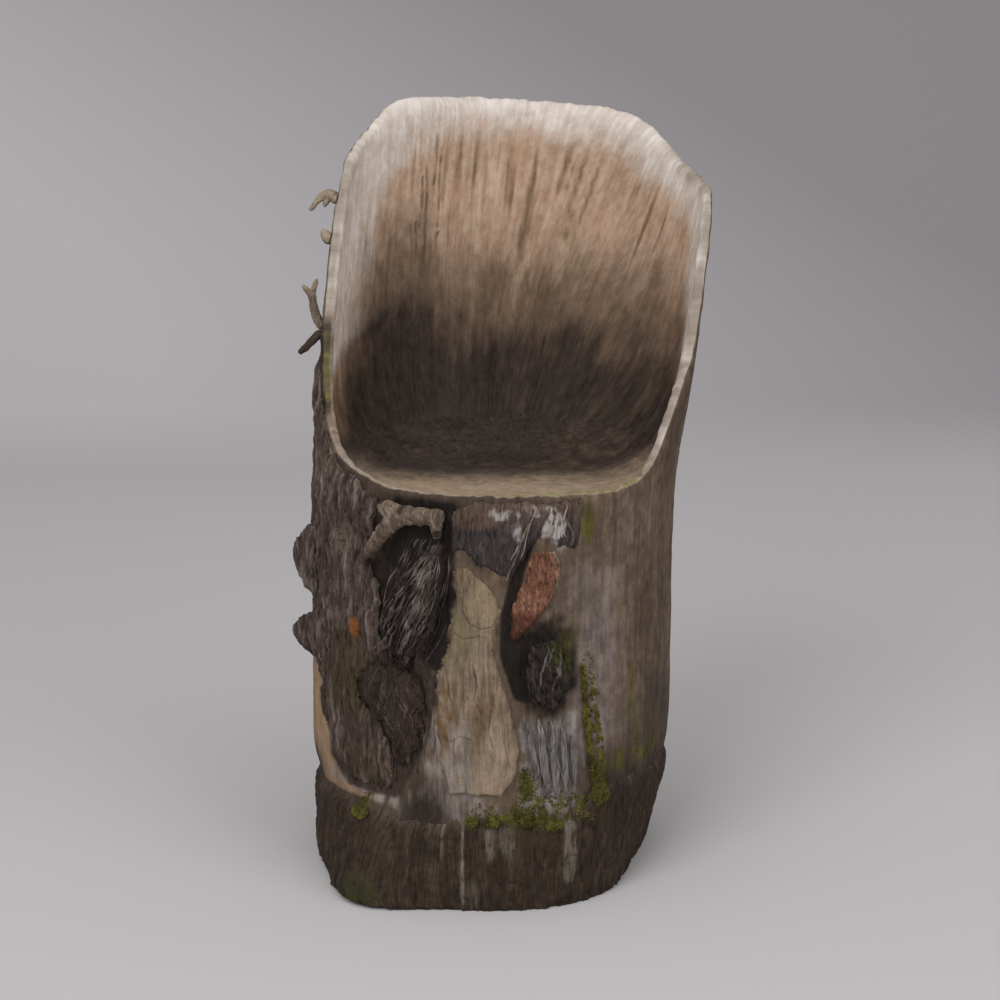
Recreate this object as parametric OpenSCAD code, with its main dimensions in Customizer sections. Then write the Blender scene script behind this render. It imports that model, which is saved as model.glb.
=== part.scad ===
// Tree stump chair: one upright log with a seat hollowed into its upper half.
// Remains of bark, dead ivy, a burl and moss cling to the outside of the log.
// The front of the chair faces -Y, and the axis of the log's foot stands on the origin.

/* [Log] */
// Height of the log at the top of the back
back_h = 900; // [820:2:980]
// How much lower the back is at its right shoulder
back_fall = 16; // [0:1:40]
// How far the right shoulder of the back stands up at its outer end
shoulder_rise = 16; // [0:1:20]
// Width of the bare log, side to side
log_w = 422; // [390:1:470]
// Depth of the bare log, front to back
log_d = 388; // [370:1:440]
// Sideways lean of the log at the top of the back
lean = 44; // [15:1:60]
// Height at which the log starts to lean and to widen
lean_from = 440; // [380:5:480]
// How much the log widens above that height, on each side
top_flare = 8; // [0:0.5:16]
// Height of the three long swellings around the log
swelling = 5; // [0:0.5:8]
// How far the right side of the foot is drawn in
foot_taper = 42; // [10:1:50]
// Height over which the foot is drawn in
foot_taper_h = 165; // [150:5:200]
// Height of the swelling on the left, where the wood is bare
bare_swelling = 9; // [0:0.5:12]
// Reach of the root toe at the front left of the foot
toe = 48; // [0:1:54]
// Height of the root toe
toe_h = 130; // [110:5:150]

/* [Seat] */
// Height of the front lip of the seat
lip_h = 480; // [430:1:520]
// Depth of the dish in the seat below the lip
seat_dish = 13; // [10:1:24]
// Thickness of the arms at their rim
arm_wall = 14; // [12:1:24]
// Thickness of the back at its rim
back_wall = 32; // [24:1:46]
// Height of the rounding on the rim of the lip and the arms
rim_round = 7; // [4:0.5:9]
// Height of the rounding on the rim of the back
back_round = 15; // [6:0.5:20]

/* [Bark] */
// Thickness of the bark around the foot
foot_bark = 7; // [5:0.5:12]
// Height of the bark around the foot
foot_bark_h = 112; // [95:1:130]
// Thickness of the bark sheets on the left side and the back
flank_bark = 6; // [4:0.5:12]
// Thickness of the loose slab of bark at the front left
slab_bark = 26; // [16:1:32]
// Thickness of the tongue of bark below the slab
tongue_bark = 14; // [8:1:20]
// How far the two flakes on the left side curl away
flake_curl = 24; // [10:1:32]
// Thickness of the thin plates of inner bark
inner_bark = 5; // [3:0.5:8]

/* [Growths] */
// Thickness of the ivy stem under the lip
stem_d = 20; // [12:0.5:22]
// Thickness of the ivy shoots on the left edge of the back
shoot_d = 9; // [7:0.5:12]
// Thickness of the thin aerial roots
rootlet_d = 5; // [3.5:0.5:7]
// Height of the burl above the wood
burl_h = 24; // [12:1:32]
// Thickness of the moss cushions
moss_t = 4; // [3:0.5:7]

/* [Hidden] */
// Clearance between a piece and the surface that it sits on
seat_gap = 0.6;
// Width of the cracks between neighbouring sheets of bark, as a share of the way up
crack = 0.012;
// How far the broken edges of the bark stray, in degrees
stray = 0.5;
// Thickness of a broken edge, as a share of the full thickness
edge_share = 0.5;
// Height of the rounding at the foot of the log
foot_round = 8;
// Where the log starts and ends to widen, above lean_from
flare_start = 40;
flare_end = 180;
// Sideways place of the log's foot
foot_x = -3;
// Directions of the front, the toe and the drawn-in side, in degrees from +X
front = 270;
toe_dir = 229;
taper_dir = 345;
// Direction of the swelling on the left, its lower and upper ends, and how fast it fades
bare_dir = 184;
bare_low = 106;
bare_high = 285;
bare_fade = 35;
// Half widths of the toe, of the drawn-in side and of the swelling, in degrees
toe_spread = 17;
taper_spread = 38;
bare_spread = 24;
// Direction of the right shoulder and its half width, in degrees
shoulder_dir = 12;
shoulder_spread = 14;
// Stretches over which each arm climbs: from and to in degrees from the front, and share of the climb
left_climb = [[38, 62, 0.045], [60, 76, 0.105], [72, 104, 0.70], [100, 130, 0.15]];
right_climb = [[42, 58, 0.03], [54, 75, 0.27], [76, 90, 0.46], [95, 150, 0.24]];
// Columns and rows of the log's faces
columns = 64;
low_rows = 4;
taper_rows = 5;
wall_rows = 11;
rim_rows = 3;
bowl_rows = 14;

// Helpers

function ease(x, from, to) =
    let (t = min(1, max(0, (x - from) / (to - from))))
    t * t * (3 - 2 * t);

function mix(p, q, t) = p + (q - p) * t;

// The angle from direction c to direction a, between -180 and 180
function turn(a, c) = ((a - c + 900) % 360) - 180;

function bell(x, spread) = exp(-pow(x / spread, 2));

// An uneven line between -1 and 1
function uneven(x, seed) =
    0.5 * sin(x * 360 + seed * 71) + 0.3 * sin(x * 833 + seed * 139) + 0.2 * sin(x * 1679 + seed * 37);

// The bare log

function axis_x(z) = foot_x + lean * max(0, z - lean_from) / (back_h - lean_from);

function log_r(a, z) =
    let (
        oval = 1 / sqrt(pow(cos(a) / (log_w / 2), 2) + pow(sin(a) / (log_d / 2), 2)),
        swell = cos(3 * a + 180) + 0.3 * cos(7 * a - 25 + z * 0.06),
        flare = top_flare * ease(z, lean_from + flare_start, lean_from + flare_end),
        root = toe * ease(z, toe_h, 0) * bell(turn(a, toe_dir), toe_spread),
        slope = pow(max(0, 1 - z / foot_taper_h), 1.2),
        drawn_in = foot_taper * slope * bell(turn(a, taper_dir), taper_spread),
        fade = ease(z, bare_low, bare_low + bare_fade) * ease(z, bare_high, bare_high - bare_fade),
        bare = bare_swelling * fade * bell(turn(a, bare_dir), bare_spread)
    )
    oval + swelling * swell + flare + root + bare - drawn_in;

// A point at height z in direction a, lifted off the bare log
function on_log(a, z, lift = 0) =
    let (r = log_r(a, z) + lift)
    [axis_x(z) + r * cos(a), r * sin(a), z];

// Share of the full height that the rim has climbed, from the lip to the back
function climb(a) =
    let (b = abs(turn(a, front)), stretches = cos(a) < 0 ? left_climb : right_climb)
    [for (s = stretches) s[2] * ease(b, s[0], s[1])] * [1, 1, 1, 1];

function rim_z(a) =
    let (
        fall = back_fall * ease(-turn(a, 125), 0, 80),
        shoulder = shoulder_rise * bell(turn(a, shoulder_dir), shoulder_spread)
    )
    lip_h + climb(a) * (back_h - lip_h - fall) + shoulder;

// How far direction a is on the way from the arms to the back
function backness(a) = ease(abs(turn(a, front)), 90, 150);
function rim_wall(a) = mix(arm_wall, back_wall, backness(a));
function rounding(a) = mix(rim_round, back_round, backness(a));

// Columns lie closer together at the arms, where the rim is steep
function column_angle(i) = let (u = 360 * i / columns) u + 7 * sin(2 * (u - 90));

// Squareness of the hollow: a flat dish in front, square at the arms and the back
function hollow_power(a) = mix(2, 5, ease(abs(turn(a, front)), 34, 66)) - ease(abs(turn(a, front)), 100, 150);

function hollow_point(a, t) =
    let (
        power = 2 / hollow_power(a),
        part = 90 * pow(t, 1.5),
        top = rim_z(a) - rounding(a),
        reach = log_r(a, top) - rim_wall(a),
        r = reach * pow(cos(part), power),
        z = mix(top, lip_h - seat_dish, pow(sin(part), power))
    )
    [axis_x(z) + r * cos(a), r * sin(a), z];

// Heights of the rows around the foot, shared by the log and the bark on it
low_top = 0.77 * foot_bark_h;
edge_rows = 3;
function low_z(j) = mix(foot_round, low_top, j / low_rows);
function taper_z(j) = mix(low_top, foot_taper_h, j / taper_rows);

function log_ring(z, lift = 0) = [for (i = [0:columns - 1]) on_log(column_angle(i), z, lift)];

function wall_ring(j) = [for (i = [0:columns - 1])
    let (a = column_angle(i))
    on_log(a, mix(foot_taper_h, rim_z(a) - rounding(a), j / wall_rows))];

function rim_ring(j) = [for (i = [0:columns - 1])
    let (a = column_angle(i), across = 180 * j / (rim_rows + 1))
    on_log(a, rim_z(a) - rounding(a) * (1 - sin(across)), -rim_wall(a) * (1 - cos(across)) / 2)];

function bowl_ring(j) = [for (i = [0:columns - 1]) hollow_point(column_angle(i), j / bowl_rows)];

// Faces of a stack of rings with n points each. The last two points close its ends.
function stack_faces(rings, n) =
    let (low = rings * n, high = low + 1)
    concat(
        [for (j = [0:rings - 2], i = [0:n - 1])
            [j * n + i, (j + 1) * n + i, (j + 1) * n + (i + 1) % n]],
        [for (j = [0:rings - 2], i = [0:n - 1])
            [j * n + i, (j + 1) * n + (i + 1) % n, j * n + (i + 1) % n]],
        [for (i = [0:n - 1]) [low, i, (i + 1) % n]],
        [for (i = [0:n - 1]) [high, (rings - 1) * n + (i + 1) % n, (rings - 1) * n + i]]
    );

module stack(rings, low, high) {
    points = concat([for (ring = rings) each ring], [low, high]);
    polyhedron(points, stack_faces(len(rings), len(rings[0])), convexity = 6);
}

module log() {
    rings = concat(
        [log_ring(0, -foot_round)],
        [for (j = [0:low_rows]) log_ring(low_z(j))],
        [for (j = [1:taper_rows]) log_ring(taper_z(j))],
        [for (j = [1:wall_rows]) wall_ring(j)],
        [for (j = [1:rim_rows]) rim_ring(j)],
        [for (j = [0:bowl_rows - 1]) bowl_ring(j)]
    );
    color("#94806a") stack(rings, [foot_x, 0, 0], hollow_point(0, 1));
}

// The ring of bark around the foot

// Height of its broken upper edge in a direction, as a share of foot_bark_h
foot_edge = [
    [0, 1.23], [40, 1.125], [90, 1.02], [135, 1.14], [180, 0.97], [213, 1], [228, 0.93], [245, 0.91],
    [258, 1.03], [276, 1.1], [294, 0.99], [299, 1.18], [308, 1.34], [333, 1.3], [360, 1.23]
];
function foot_top(a) = foot_bark_h * (lookup((a + 360) % 360, foot_edge) + 0.02 * uneven(a / 47, 3));

function foot_bark_z(a, j) = j <= low_rows ? low_z(j) : mix(low_top, foot_top(a), (j - low_rows) / edge_rows);

// Its thickness, which falls evenly over its two highest rows
function foot_bark_depth(a, z) =
    let (thinning = 2 / edge_rows * (foot_top(a) - low_top))
    foot_bark * mix(edge_share, 1, min(1, (foot_top(a) - z) / thinning));

module foot_bark() {
    rows = low_rows + edge_rows;
    inner = [for (j = [rows:-1:0]) [for (i = [0:columns - 1])
        let (a = column_angle(i)) on_log(a, foot_bark_z(a, j), seat_gap)]];
    outer = [for (j = [0:rows]) [for (i = [0:columns - 1])
        let (a = column_angle(i), z = foot_bark_z(a, j))
        on_log(a, z, seat_gap + foot_bark_depth(a, z))]];
    foot = [for (i = [0:columns - 1]) on_log(column_angle(i), 0, seat_gap)];
    foot_out = [for (i = [0:columns - 1]) on_log(column_angle(i), 0, seat_gap + foot_bark)];
    loop = concat(inner, [foot, foot_out], outer);
    color("#3f342c") polyhedron([for (ring = loop) each ring], band_faces(len(loop), columns), convexity = 6);
}

// Faces of a closed band: rings of n points whose last ring meets the first
function band_faces(rings, n) = [
    for (j = [0:rings - 1], i = [0:n - 1], half = [0, 1])
        let (k = (j + 1) % rings, m = (i + 1) % n)
        half == 0 ? [j * n + i, k * n + i, k * n + m] : [j * n + i, k * n + m, j * n + m]
];

// Sheets of bark

// Height at share s of the way from the bark around the foot up to the lip
function up(s) = mix(foot_bark_h, lip_h, s);

function sheet_faces(across, rows) =
    let (
        n = across + 1,
        over = n * (rows + 1),
        cells = [for (j = [0:rows - 1], i = [0:across - 1])
            [j * n + i, (j + 1) * n + i, (j + 1) * n + i + 1, j * n + i + 1]]
    )
    concat(
        [for (c = cells) [over + c[0], over + c[1], over + c[2]]],
        [for (c = cells) [over + c[0], over + c[2], over + c[3]]],
        [for (c = cells) [c[0], c[2], c[1]]],
        [for (c = cells) [c[0], c[3], c[2]]],
        [for (i = [0:across - 1]) each side_faces(i, i + 1, over)],
        [for (i = [0:across - 1]) each side_faces(rows * n + i + 1, rows * n + i, over)],
        [for (j = [0:rows - 1]) each side_faces((j + 1) * n, j * n, over)],
        [for (j = [0:rows - 1]) each side_faces(j * n + across, (j + 1) * n + across, over)]
    );

function side_faces(p, q, over) = [[over + p, over + q, q], [over + p, q, p]];

// place(u, v) gives a direction and a height, rise(u, v) the height of the underside above the
// bare log, and depth(u, v) the thickness. u runs from left to right and v from low to high.
module sheet(place, rise, depth, across, rows) {
    spots = [for (j = [0:rows], i = [0:across]) [i / across, j / rows]];
    under = [for (s = spots) let (p = place(s[0], s[1])) on_log(p[0], p[1], rise(s[0], s[1]))];
    over = [for (s = spots)
        let (p = place(s[0], s[1]))
        on_log(p[0], p[1], rise(s[0], s[1]) + depth(s[0], s[1]))];
    polyhedron(concat(under, over), sheet_faces(across, rows), convexity = 6);
}

// Thickness that thins out towards the broken edges
function bark_depth(full, u, v, border) = full * mix(edge_share, 1, ease(min(u, 1 - u, v, 1 - v), 0, border));

// A sheet between two edges, each a list of a share of the way up and a direction
module edged_sheet(left_edge, right_edge, full, across, rows, seed, border = 0.2) {
    low = left_edge[0][0];
    high = left_edge[len(left_edge) - 1][0];
    place = function (u, v)
        let (
            s = mix(low, high, v),
            from = lookup(s, left_edge) + stray * uneven(s * 5, seed),
            to = lookup(s, right_edge) + stray * uneven(s * 5, seed + 1)
        )
        [mix(from, to, u), up(s)];
    sheet(place, function (u, v) seat_gap, function (u, v) bark_depth(full, u, v, border), across, rows);
}

// Bark on the left side, below the lip. A bare strip of wood shows below its lower left edge.
flank_left = [
    [0.05, 214], [0.15, 206], [0.26, 198], [0.34, 201], [0.40, 195], [0.46, 187],
    [0.50, 178], [0.55, 174], [0.85, 174]
];
flank_right = [
    [0.05, 231], [0.15, 233], [0.22, 230], [0.26, 227], [0.31, 220], [0.38, 216.5], [0.44, 223],
    [0.47, 229], [0.53, 229], [0.60, 226], [0.67, 229], [0.74, 225.5], [0.80, 221], [0.85, 225]
];
module flank_bark() {
    color("#4d423b") edged_sheet(flank_left, flank_right, flank_bark, 10, 20, 5, 0.08);
}

// Bark on the outside of the left arm, up to a share of the way from the lip to the top of the back
arm_from = 174;
arm_to = 226;
arm_bark_reach = 0.31;
// Distance of the bark below the rim, which grows next to the ivy stem
rim_bare = 3;
stem_bare = 13;
module arm_bark() {
    place = function (u, v)
        let (
            a = mix(arm_from, arm_to, u),
            low = up(0.85 + crack + 0.004 * uneven(u * 2, 11)),
            reach = arm_bark_reach + 0.012 * uneven(u * 3, 12),
            bare = mix(rim_bare, stem_bare, ease(a, 217, 223)),
            top = min(rim_z(a) - bare, mix(lip_h, back_h, reach))
        )
        [a, mix(low, top, v)];
    color("#54473f")
        sheet(place, function (u, v) seat_gap, function (u, v) bark_depth(flank_bark, u, v, 0.1), 12, 5);
}

// Two sheets of bark on the back, one above the other
back_left = [[0.08, 112], [0.25, 105], [0.45, 109], [0.62, 102], [0.85, 106]];
back_right = [[0.08, 169], [0.30, 171], [0.50, 170], [0.85, 171]];
module back_bark_low() {
    color("#4a3f38") edged_sheet(back_left, back_right, flank_bark, 12, 9, 21, 0.1);
}

back_high_left = [[0.87, 106], [1.05, 99], [1.25, 108], [1.45, 121]];
back_high_right = [[0.87, 171], [1.20, 170], [1.38, 166], [1.45, 150]];
module back_bark_high() {
    color("#51453d") edged_sheet(back_high_left, back_high_right, flank_bark, 12, 8, 22, 0.1);
}

// The loose slab at the front left, thickest at its right edge
slab_left = [
    [0.47, 233], [0.53, 231], [0.60, 228.5], [0.67, 232.5], [0.775, 240.5], [0.83, 246], [0.855, 249]
];
slab_right = [[0.47, 239], [0.56, 247.5], [0.67, 251.5], [0.775, 252.5], [0.855, 252]];
module bark_slab() {
    place = function (u, v)
        let (s = mix(0.47, 0.855, v))
        [mix(lookup(s, slab_left), lookup(s, slab_right), u), up(s)];
    depth = function (u, v) bark_depth(slab_bark, u * 0.8, v, 0.3) * mix(0.6, 1, u);
    color("#3a322d") sheet(place, function (u, v) seat_gap, depth, 8, 10);
}

// The tongue of bark below the slab, with its tip pointing down
tongue_left = [[0.155, 236], [0.22, 232.5], [0.26, 229.5], [0.31, 222.5], [0.38, 219], [0.45, 226]];
tongue_right = [[0.155, 239], [0.20, 242.5], [0.31, 244], [0.40, 244], [0.45, 240]];
module bark_tongue() {
    color("#40362f") edged_sheet(tongue_left, tongue_right, tongue_bark, 7, 10, 31, 0.3);
}

// Two flakes that sit on the bark of the left side and curl away from it at their left
// tip is the place of the point on the way from the lower to the upper end
module flake(low, high, tip, from, to) {
    on_bark = flank_bark + 2 * seat_gap;
    blunt = function (v) abs(v - tip) / (v < tip ? tip : 1 - tip);
    left = function (v) mix(from, to - 4, pow(blunt(v), 1.15));
    place = function (u, v) [mix(left(v), to, u), up(mix(low, high, v))];
    rise = function (u, v) on_bark + flake_curl * pow(1 - u, 1.7) * (1 - 0.9 * pow(blunt(v), 1.2));
    depth = function (u, v) inner_bark * mix(0.6, 1, ease(min(u, v, 1 - v), 0, 0.3));
    sheet(place, rise, depth, 6, 6);
}

module flake_upper() {
    color("#453a34") flake(0.6, 0.83, 0.42, 178, 196);
}

module flake_lower() {
    color("#4a3d35") flake(0.405, 0.592, 0.2, 180, 206);
}

// Bark that is left under the lip, with a ragged lower edge
lip_bark_low = [
    [253, 0.82], [259, 0.84], [262, 0.80], [267, 0.785], [271.5, 0.75], [276, 0.765],
    [280, 0.85], [284, 0.885], [290, 0.85], [297, 0.845]
];
module lip_bark() {
    place = function (u, v)
        let (a = mix(254, 297, u), bare = mix(stem_bare, rim_bare, ease(a, 256, 260)))
        [a, mix(up(lookup(a, lip_bark_low)), lip_h - bare, v)];
    color("#3d3636")
        sheet(place, function (u, v) seat_gap, function (u, v) bark_depth(inner_bark, u, v, 0.12), 16, 5);
}

// Thin plates of inner bark on the front
tan_left = [[0.06, 253], [0.20, 249.5], [0.40, 248.5], [0.56, 253.5], [0.68, 255.5], [0.80, 256]];
tan_right = [[0.06, 272.5], [0.13, 277.5], [0.26, 277.5], [0.42, 272.5], [0.54, 269.5], [0.66, 272],
    [0.72, 269.5], [0.75, 265], [0.80, 259.5]];
module inner_bark_tan() {
    color("#a58a68") edged_sheet(tan_left, tan_right, inner_bark, 7, 16, 41, 0.12);
}

red_left = [[0.56, 274], [0.66, 274.5], [0.75, 278.5], [0.845, 281.5]];
red_right = [[0.56, 276], [0.61, 282], [0.68, 288], [0.78, 291.5], [0.845, 289.5]];
module inner_bark_red() {
    color("#8a4b36") edged_sheet(red_left, red_right, inner_bark, 5, 8, 43, 0.2);
}

// Upright splinters of weathered wood below the burl. Each has a lower and an upper end, as a
// direction and a share of the way up, and a width in degrees.
splinter_list = [
    [[284, 0.09], [279.4, 0.31], 2.4], [[286.8, 0.06], [283.3, 0.32], 2.8],
    [[289.8, 0.05], [287.2, 0.31], 2.8], [[292.8, 0.06], [291, 0.29], 2.4], [[295.4, 0.09], [294.2, 0.26], 2]
];
module splinters() {
    for (s = splinter_list) {
        place = function (u, v)
            let (half = s[2] / 2 * (1 - 0.75 * pow(abs(2 * v - 1), 3)))
            [mix(s[0][0], s[1][0], v) + mix(-half, half, u), up(mix(s[0][1], s[1][1], v))];
        depth = function (u, v) inner_bark * mix(0.6, 1, ease(min(v, 1 - v), 0, 0.4));
        color("#8f8985") sheet(place, function (u, v) seat_gap, depth, 2, 8);
    }
}

// Rounded growths

// A cushion seated on what rise(a, z) gives: the height of its seat above the bare log
module cushion(a, z, half_a, half_z, rise, height, sides = 10, squareness = 2) {
    spot = function (k, r)
        let (
            t = 360 * k / sides,
            x = sign(cos(t)) * pow(abs(cos(t)), 2 / squareness),
            y = sign(sin(t)) * pow(abs(sin(t)), 2 / squareness)
        )
        [a + half_a * r * x, z + half_z * r * y];
    ring = function (r, h) [for (k = [0:sides - 1])
        let (p = spot(k, r)) on_log(p[0], p[1], rise(p[0], p[1]) + h * height)];
    rings = [ring(0.5, 0), ring(1, 0), ring(1, 0.4), ring(0.85, 0.8), ring(0.5, 0.97)];
    stack(rings, on_log(a, z, rise(a, z)), on_log(a, z, rise(a, z) + height));
}

burl_dir = 286;
burl_at = 0.46;
burl_half_a = 8.6;
burl_half_z = 1.9 * burl_h;
module burl() {
    color("#2f2b24")
        cushion(burl_dir, up(burl_at), burl_half_a, burl_half_z, function (a, z) seat_gap, burl_h, 16, 2.4);
}

// Moss cushions on the upper edge of the bark around the foot, each a direction and a half width
moss_list = [[222, 4], [261.5, 2.6], [268.5, 2.8], [280, 2.8], [288, 3.4], [303, 2.4]];
moss_half_z = 2 * moss_t;
moss_drop = 0.75 * moss_t;
module moss_foot() {
    seat = function (a, z) foot_bark_depth(a, z) + 2 * seat_gap;
    for (m = moss_list)
        color("#7d8420")
            cushion(m[0], foot_top(m[0]) - moss_half_z - moss_drop, m[1], moss_half_z, seat, moss_t);
}

// A narrow streak of moss on the bare wood
streak_from = [302, 0.10];
streak_to = [297.5, 0.48];
streak_w = 1.5;
module moss_streak() {
    place = function (u, v)
        let (half = streak_w * (1 - 0.7 * pow(abs(2 * v - 1), 2)))
        [mix(streak_from[0], streak_to[0], v) + mix(-half, half, u) + 0.5 * uneven(v, 2),
            up(mix(streak_from[1], streak_to[1], v))];
    color("#8b8f2a") sheet(place, function (u, v) seat_gap, function (u, v) moss_t * 0.75, 2, 12);
}

// Dead ivy

function unit(p) = p / norm(p);

// Ring of points around a path, square to it. The reference direction fixes how it is turned.
function path_ring(path, i, r, ref, sides) =
    let (
        last = len(path) - 1,
        along = unit(path[min(i + 1, last)] - path[max(i - 1, 0)]),
        side = unit(cross(ref, along)),
        top = cross(along, side)
    )
    [for (k = [0:sides - 1]) path[i] + r * (cos(360 * k / sides) * side + sin(360 * k / sides) * top)];

// A tapering stem along a path, with one radius for each point
module stem(path, radii, ref, sides = 8) {
    last = len(path) - 1;
    stack([for (i = [0:last]) path_ring(path, i, radii[i], ref, sides)], path[0], path[last]);
}

// Path along the outside of the log. Each point has a direction, a distance below the lip and a
// radius, both as multiples of r, and its clearance from the bare log.
function low_path(list, r) = [for (p = list) on_log(p[0], lip_h - r * p[1], r * p[2] + p[3])];
function low_radii(list, r) = [for (p = list) r * p[2]];

// The stem lies under the lip. Its left arm comes down over the bark of the left side.
module ivy_stem() {
    r = stem_d / 2;
    over_bark = flank_bark + 2 * seat_gap;
    main = [
        [252.5, 1.8, 0.65, seat_gap], [249, 2, 0.8, seat_gap], [245, 2.2, 1, seat_gap],
        [241, 2.1, 1.1, seat_gap], [237.5, 2.5, 1.1, 2 * seat_gap], [234, 3.7, 1, flank_bark / 2],
        [230.5, 5.3, 0.85, over_bark], [227, 6.9, 0.65, over_bark], [223, 8.1, 0.4, over_bark]
    ];
    knob = [
        [238, 2.4, 1, seat_gap], [235, 1.9, 1, seat_gap], [231.5, 1.7, 0.9, seat_gap],
        [228.8, 1.8, 0.5, seat_gap]
    ];
    stub = [
        [250, 1.8, 0.6, 2 * seat_gap], [250.6, 2.7, 0.65, flank_bark / 2], [251, 3.7, 0.6, flank_bark],
        [251.2, 4.5, 0.35, over_bark]
    ];
    color("#8b7d6c") {
        stem(low_path(main, r), low_radii(main, r), [0, 0, 1]);
        stem(low_path(knob, r), low_radii(knob, r), [0, 0, 1]);
        stem(low_path(stub, r), low_radii(stub, r), [0, 1, 0]);
    }
}

// Thin roots on the bark under the lip, each a list of directions and distances below the lip, as
// multiples of rootlet_d
rootlet_list = [
    [[279.5, 4.8], [278.6, 6.8], [277.2, 9.2], [276.6, 11.6], [275, 14], [273.5, 16.4], [272.6, 18.4]],
    [[290.5, 4], [291.6, 5.6], [293.2, 7.4], [293.6, 9.2], [292.6, 10.8]]
];
module rootlets() {
    r = rootlet_d / 2;
    on_bark = inner_bark + 2 * seat_gap;
    for (root = rootlet_list) {
        tip = len(root) - 1;
        list = [for (i = [0:tip]) [root[i][0], 2 * root[i][1], mix(1, 0.6, i / tip), on_bark]];
        color("#a79f92") stem(low_path(list, r), low_radii(list, r), [1, 0, 0], 6);
    }
}

// Direction square to the leaning side of the log
function away(a) = unit([cos(a), sin(a), -cos(a) * lean / (back_h - lean_from)]);

// Height on the left edge, a share of the way down from the rim to the lip
function down_rim(a, share) = mix(rim_z(a), lip_h, share);

// A shoot on the left edge: a flared collar against the wood, then points further out, back and up.
// Points and radii are multiples of r.
collar = 0.55;
module shoot(a, z, reach, radii, r = shoot_d / 2) {
    root = on_log(a, z, seat_gap);
    path = concat([root, root + r * collar * away(a)], shoot_path(a, z, reach, r));
    stem(path, r * concat([radii[0] * 1.2, radii[0]], radii), [0, 0.3, 1]);
}

function shoot_path(a, z, reach, r) =
    [for (p = reach) on_log(a, z, seat_gap) + r * (p[0] * away(a) + [0, p[1], p[2]])];

// A side shoot that leaves a shoot at its first point
module prong(a, z, reach, radii, r = shoot_d / 2) {
    stem(shoot_path(a, z, reach, r), r * radii, [0, 0.3, 1]);
}

module shoot_top() {
    a = 170;
    z = down_rim(a, 0.11);
    color("#8d8069") {
        shoot(a, z, [[1.3, 0, 0.5], [2.2, -0.2, 1.1], [3.3, -0.7, 0.9], [4.9, -1.1, -0.4],
            [6.2, -1.6, -2], [7.3, -2, -3.6]], [1.4, 1.2, 1, 0.8, 0.6, 0.4]);
        prong(a, z, [[1.8, 0, 0.5], [2.4, -0.2, 0.5], [3.1, -0.7, -0.9], [3.6, -1.1, -2.4]],
            [0.9, 0.9, 0.7, 0.4]);
    }
}

module shoot_stub() {
    a = 176;
    color("#94856b")
        shoot(a, down_rim(a, 0.093), [[1.1, 0, 0.5], [1.6, -0.2, 1.1], [2, -0.4, 2]], [1.4, 1.1, 0.6]);
}

module shoot_fork() {
    a = 179.5;
    z = down_rim(a, 0.33);
    color("#8a7560") {
        shoot(a, z, [[1.1, 0, 0.9], [1.8, -0.2, 2.7], [2.2, -0.2, 4.9], [2.4, -0.4, 6.9],
            [3.3, -0.7, 8.4], [4.9, -0.9, 9.8]], [1.2, 1.1, 1, 0.85, 0.65, 0.4]);
        prong(a, z, [[1.8, -0.2, 3.1], [2.2, -0.2, 5.3], [2.4, -0.4, 7.3], [2, -0.4, 9.3], [1.1, -0.4, 11.8]],
            [0.7, 0.8, 0.8, 0.6, 0.4]);
    }
}

module shoot_peg() {
    a = 184;
    color("#4b4038")
        shoot(a, down_rim(a, 0.148), [[1.3, 0, -0.9], [2.4, -0.2, -2.2], [4, -0.4, -3.8], [5.6, -0.7, -5.3]],
            [1, 0.95, 0.85, 0.6]);
}

log();
foot_bark();
flank_bark();
arm_bark();
back_bark_low();
back_bark_high();
bark_slab();
bark_tongue();
flake_upper();
flake_lower();
lip_bark();
inner_bark_tan();
inner_bark_red();
splinters();
burl();
ivy_stem();
rootlets();
shoot_top();
shoot_stub();
shoot_fork();
shoot_peg();
moss_foot();
moss_streak();
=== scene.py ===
"""Tree stump chair: dresses the solids of the chair with weathered wood, bark, dead ivy and moss."""

import itertools
import math

import bmesh
import bpy
import numpy as np
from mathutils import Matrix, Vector, kdtree
from mathutils.bvhtree import BVHTree


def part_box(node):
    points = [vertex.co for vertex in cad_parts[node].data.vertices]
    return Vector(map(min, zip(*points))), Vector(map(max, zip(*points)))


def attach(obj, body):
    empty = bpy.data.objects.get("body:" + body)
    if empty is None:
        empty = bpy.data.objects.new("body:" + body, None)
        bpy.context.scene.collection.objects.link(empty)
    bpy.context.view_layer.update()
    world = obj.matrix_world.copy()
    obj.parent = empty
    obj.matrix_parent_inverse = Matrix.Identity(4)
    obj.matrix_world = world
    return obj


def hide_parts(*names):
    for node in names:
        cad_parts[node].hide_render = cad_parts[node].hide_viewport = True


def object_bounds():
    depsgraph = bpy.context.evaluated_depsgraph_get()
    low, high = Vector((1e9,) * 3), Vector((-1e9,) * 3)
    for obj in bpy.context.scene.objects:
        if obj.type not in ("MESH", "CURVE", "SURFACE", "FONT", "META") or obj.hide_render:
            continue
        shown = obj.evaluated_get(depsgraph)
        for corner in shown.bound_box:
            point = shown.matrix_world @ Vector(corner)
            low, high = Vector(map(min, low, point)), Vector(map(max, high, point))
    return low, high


bl_info = {
    "name": "Tree stump chair",
    "version": (1, 0, 0),
    "blender": (4, 2, 0),
    "location": "View3D > Sidebar > Stump chair",
    "description": "Builds a chair hollowed from one log, with bark, dead ivy and moss on it",
    "category": "Object",
}

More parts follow.
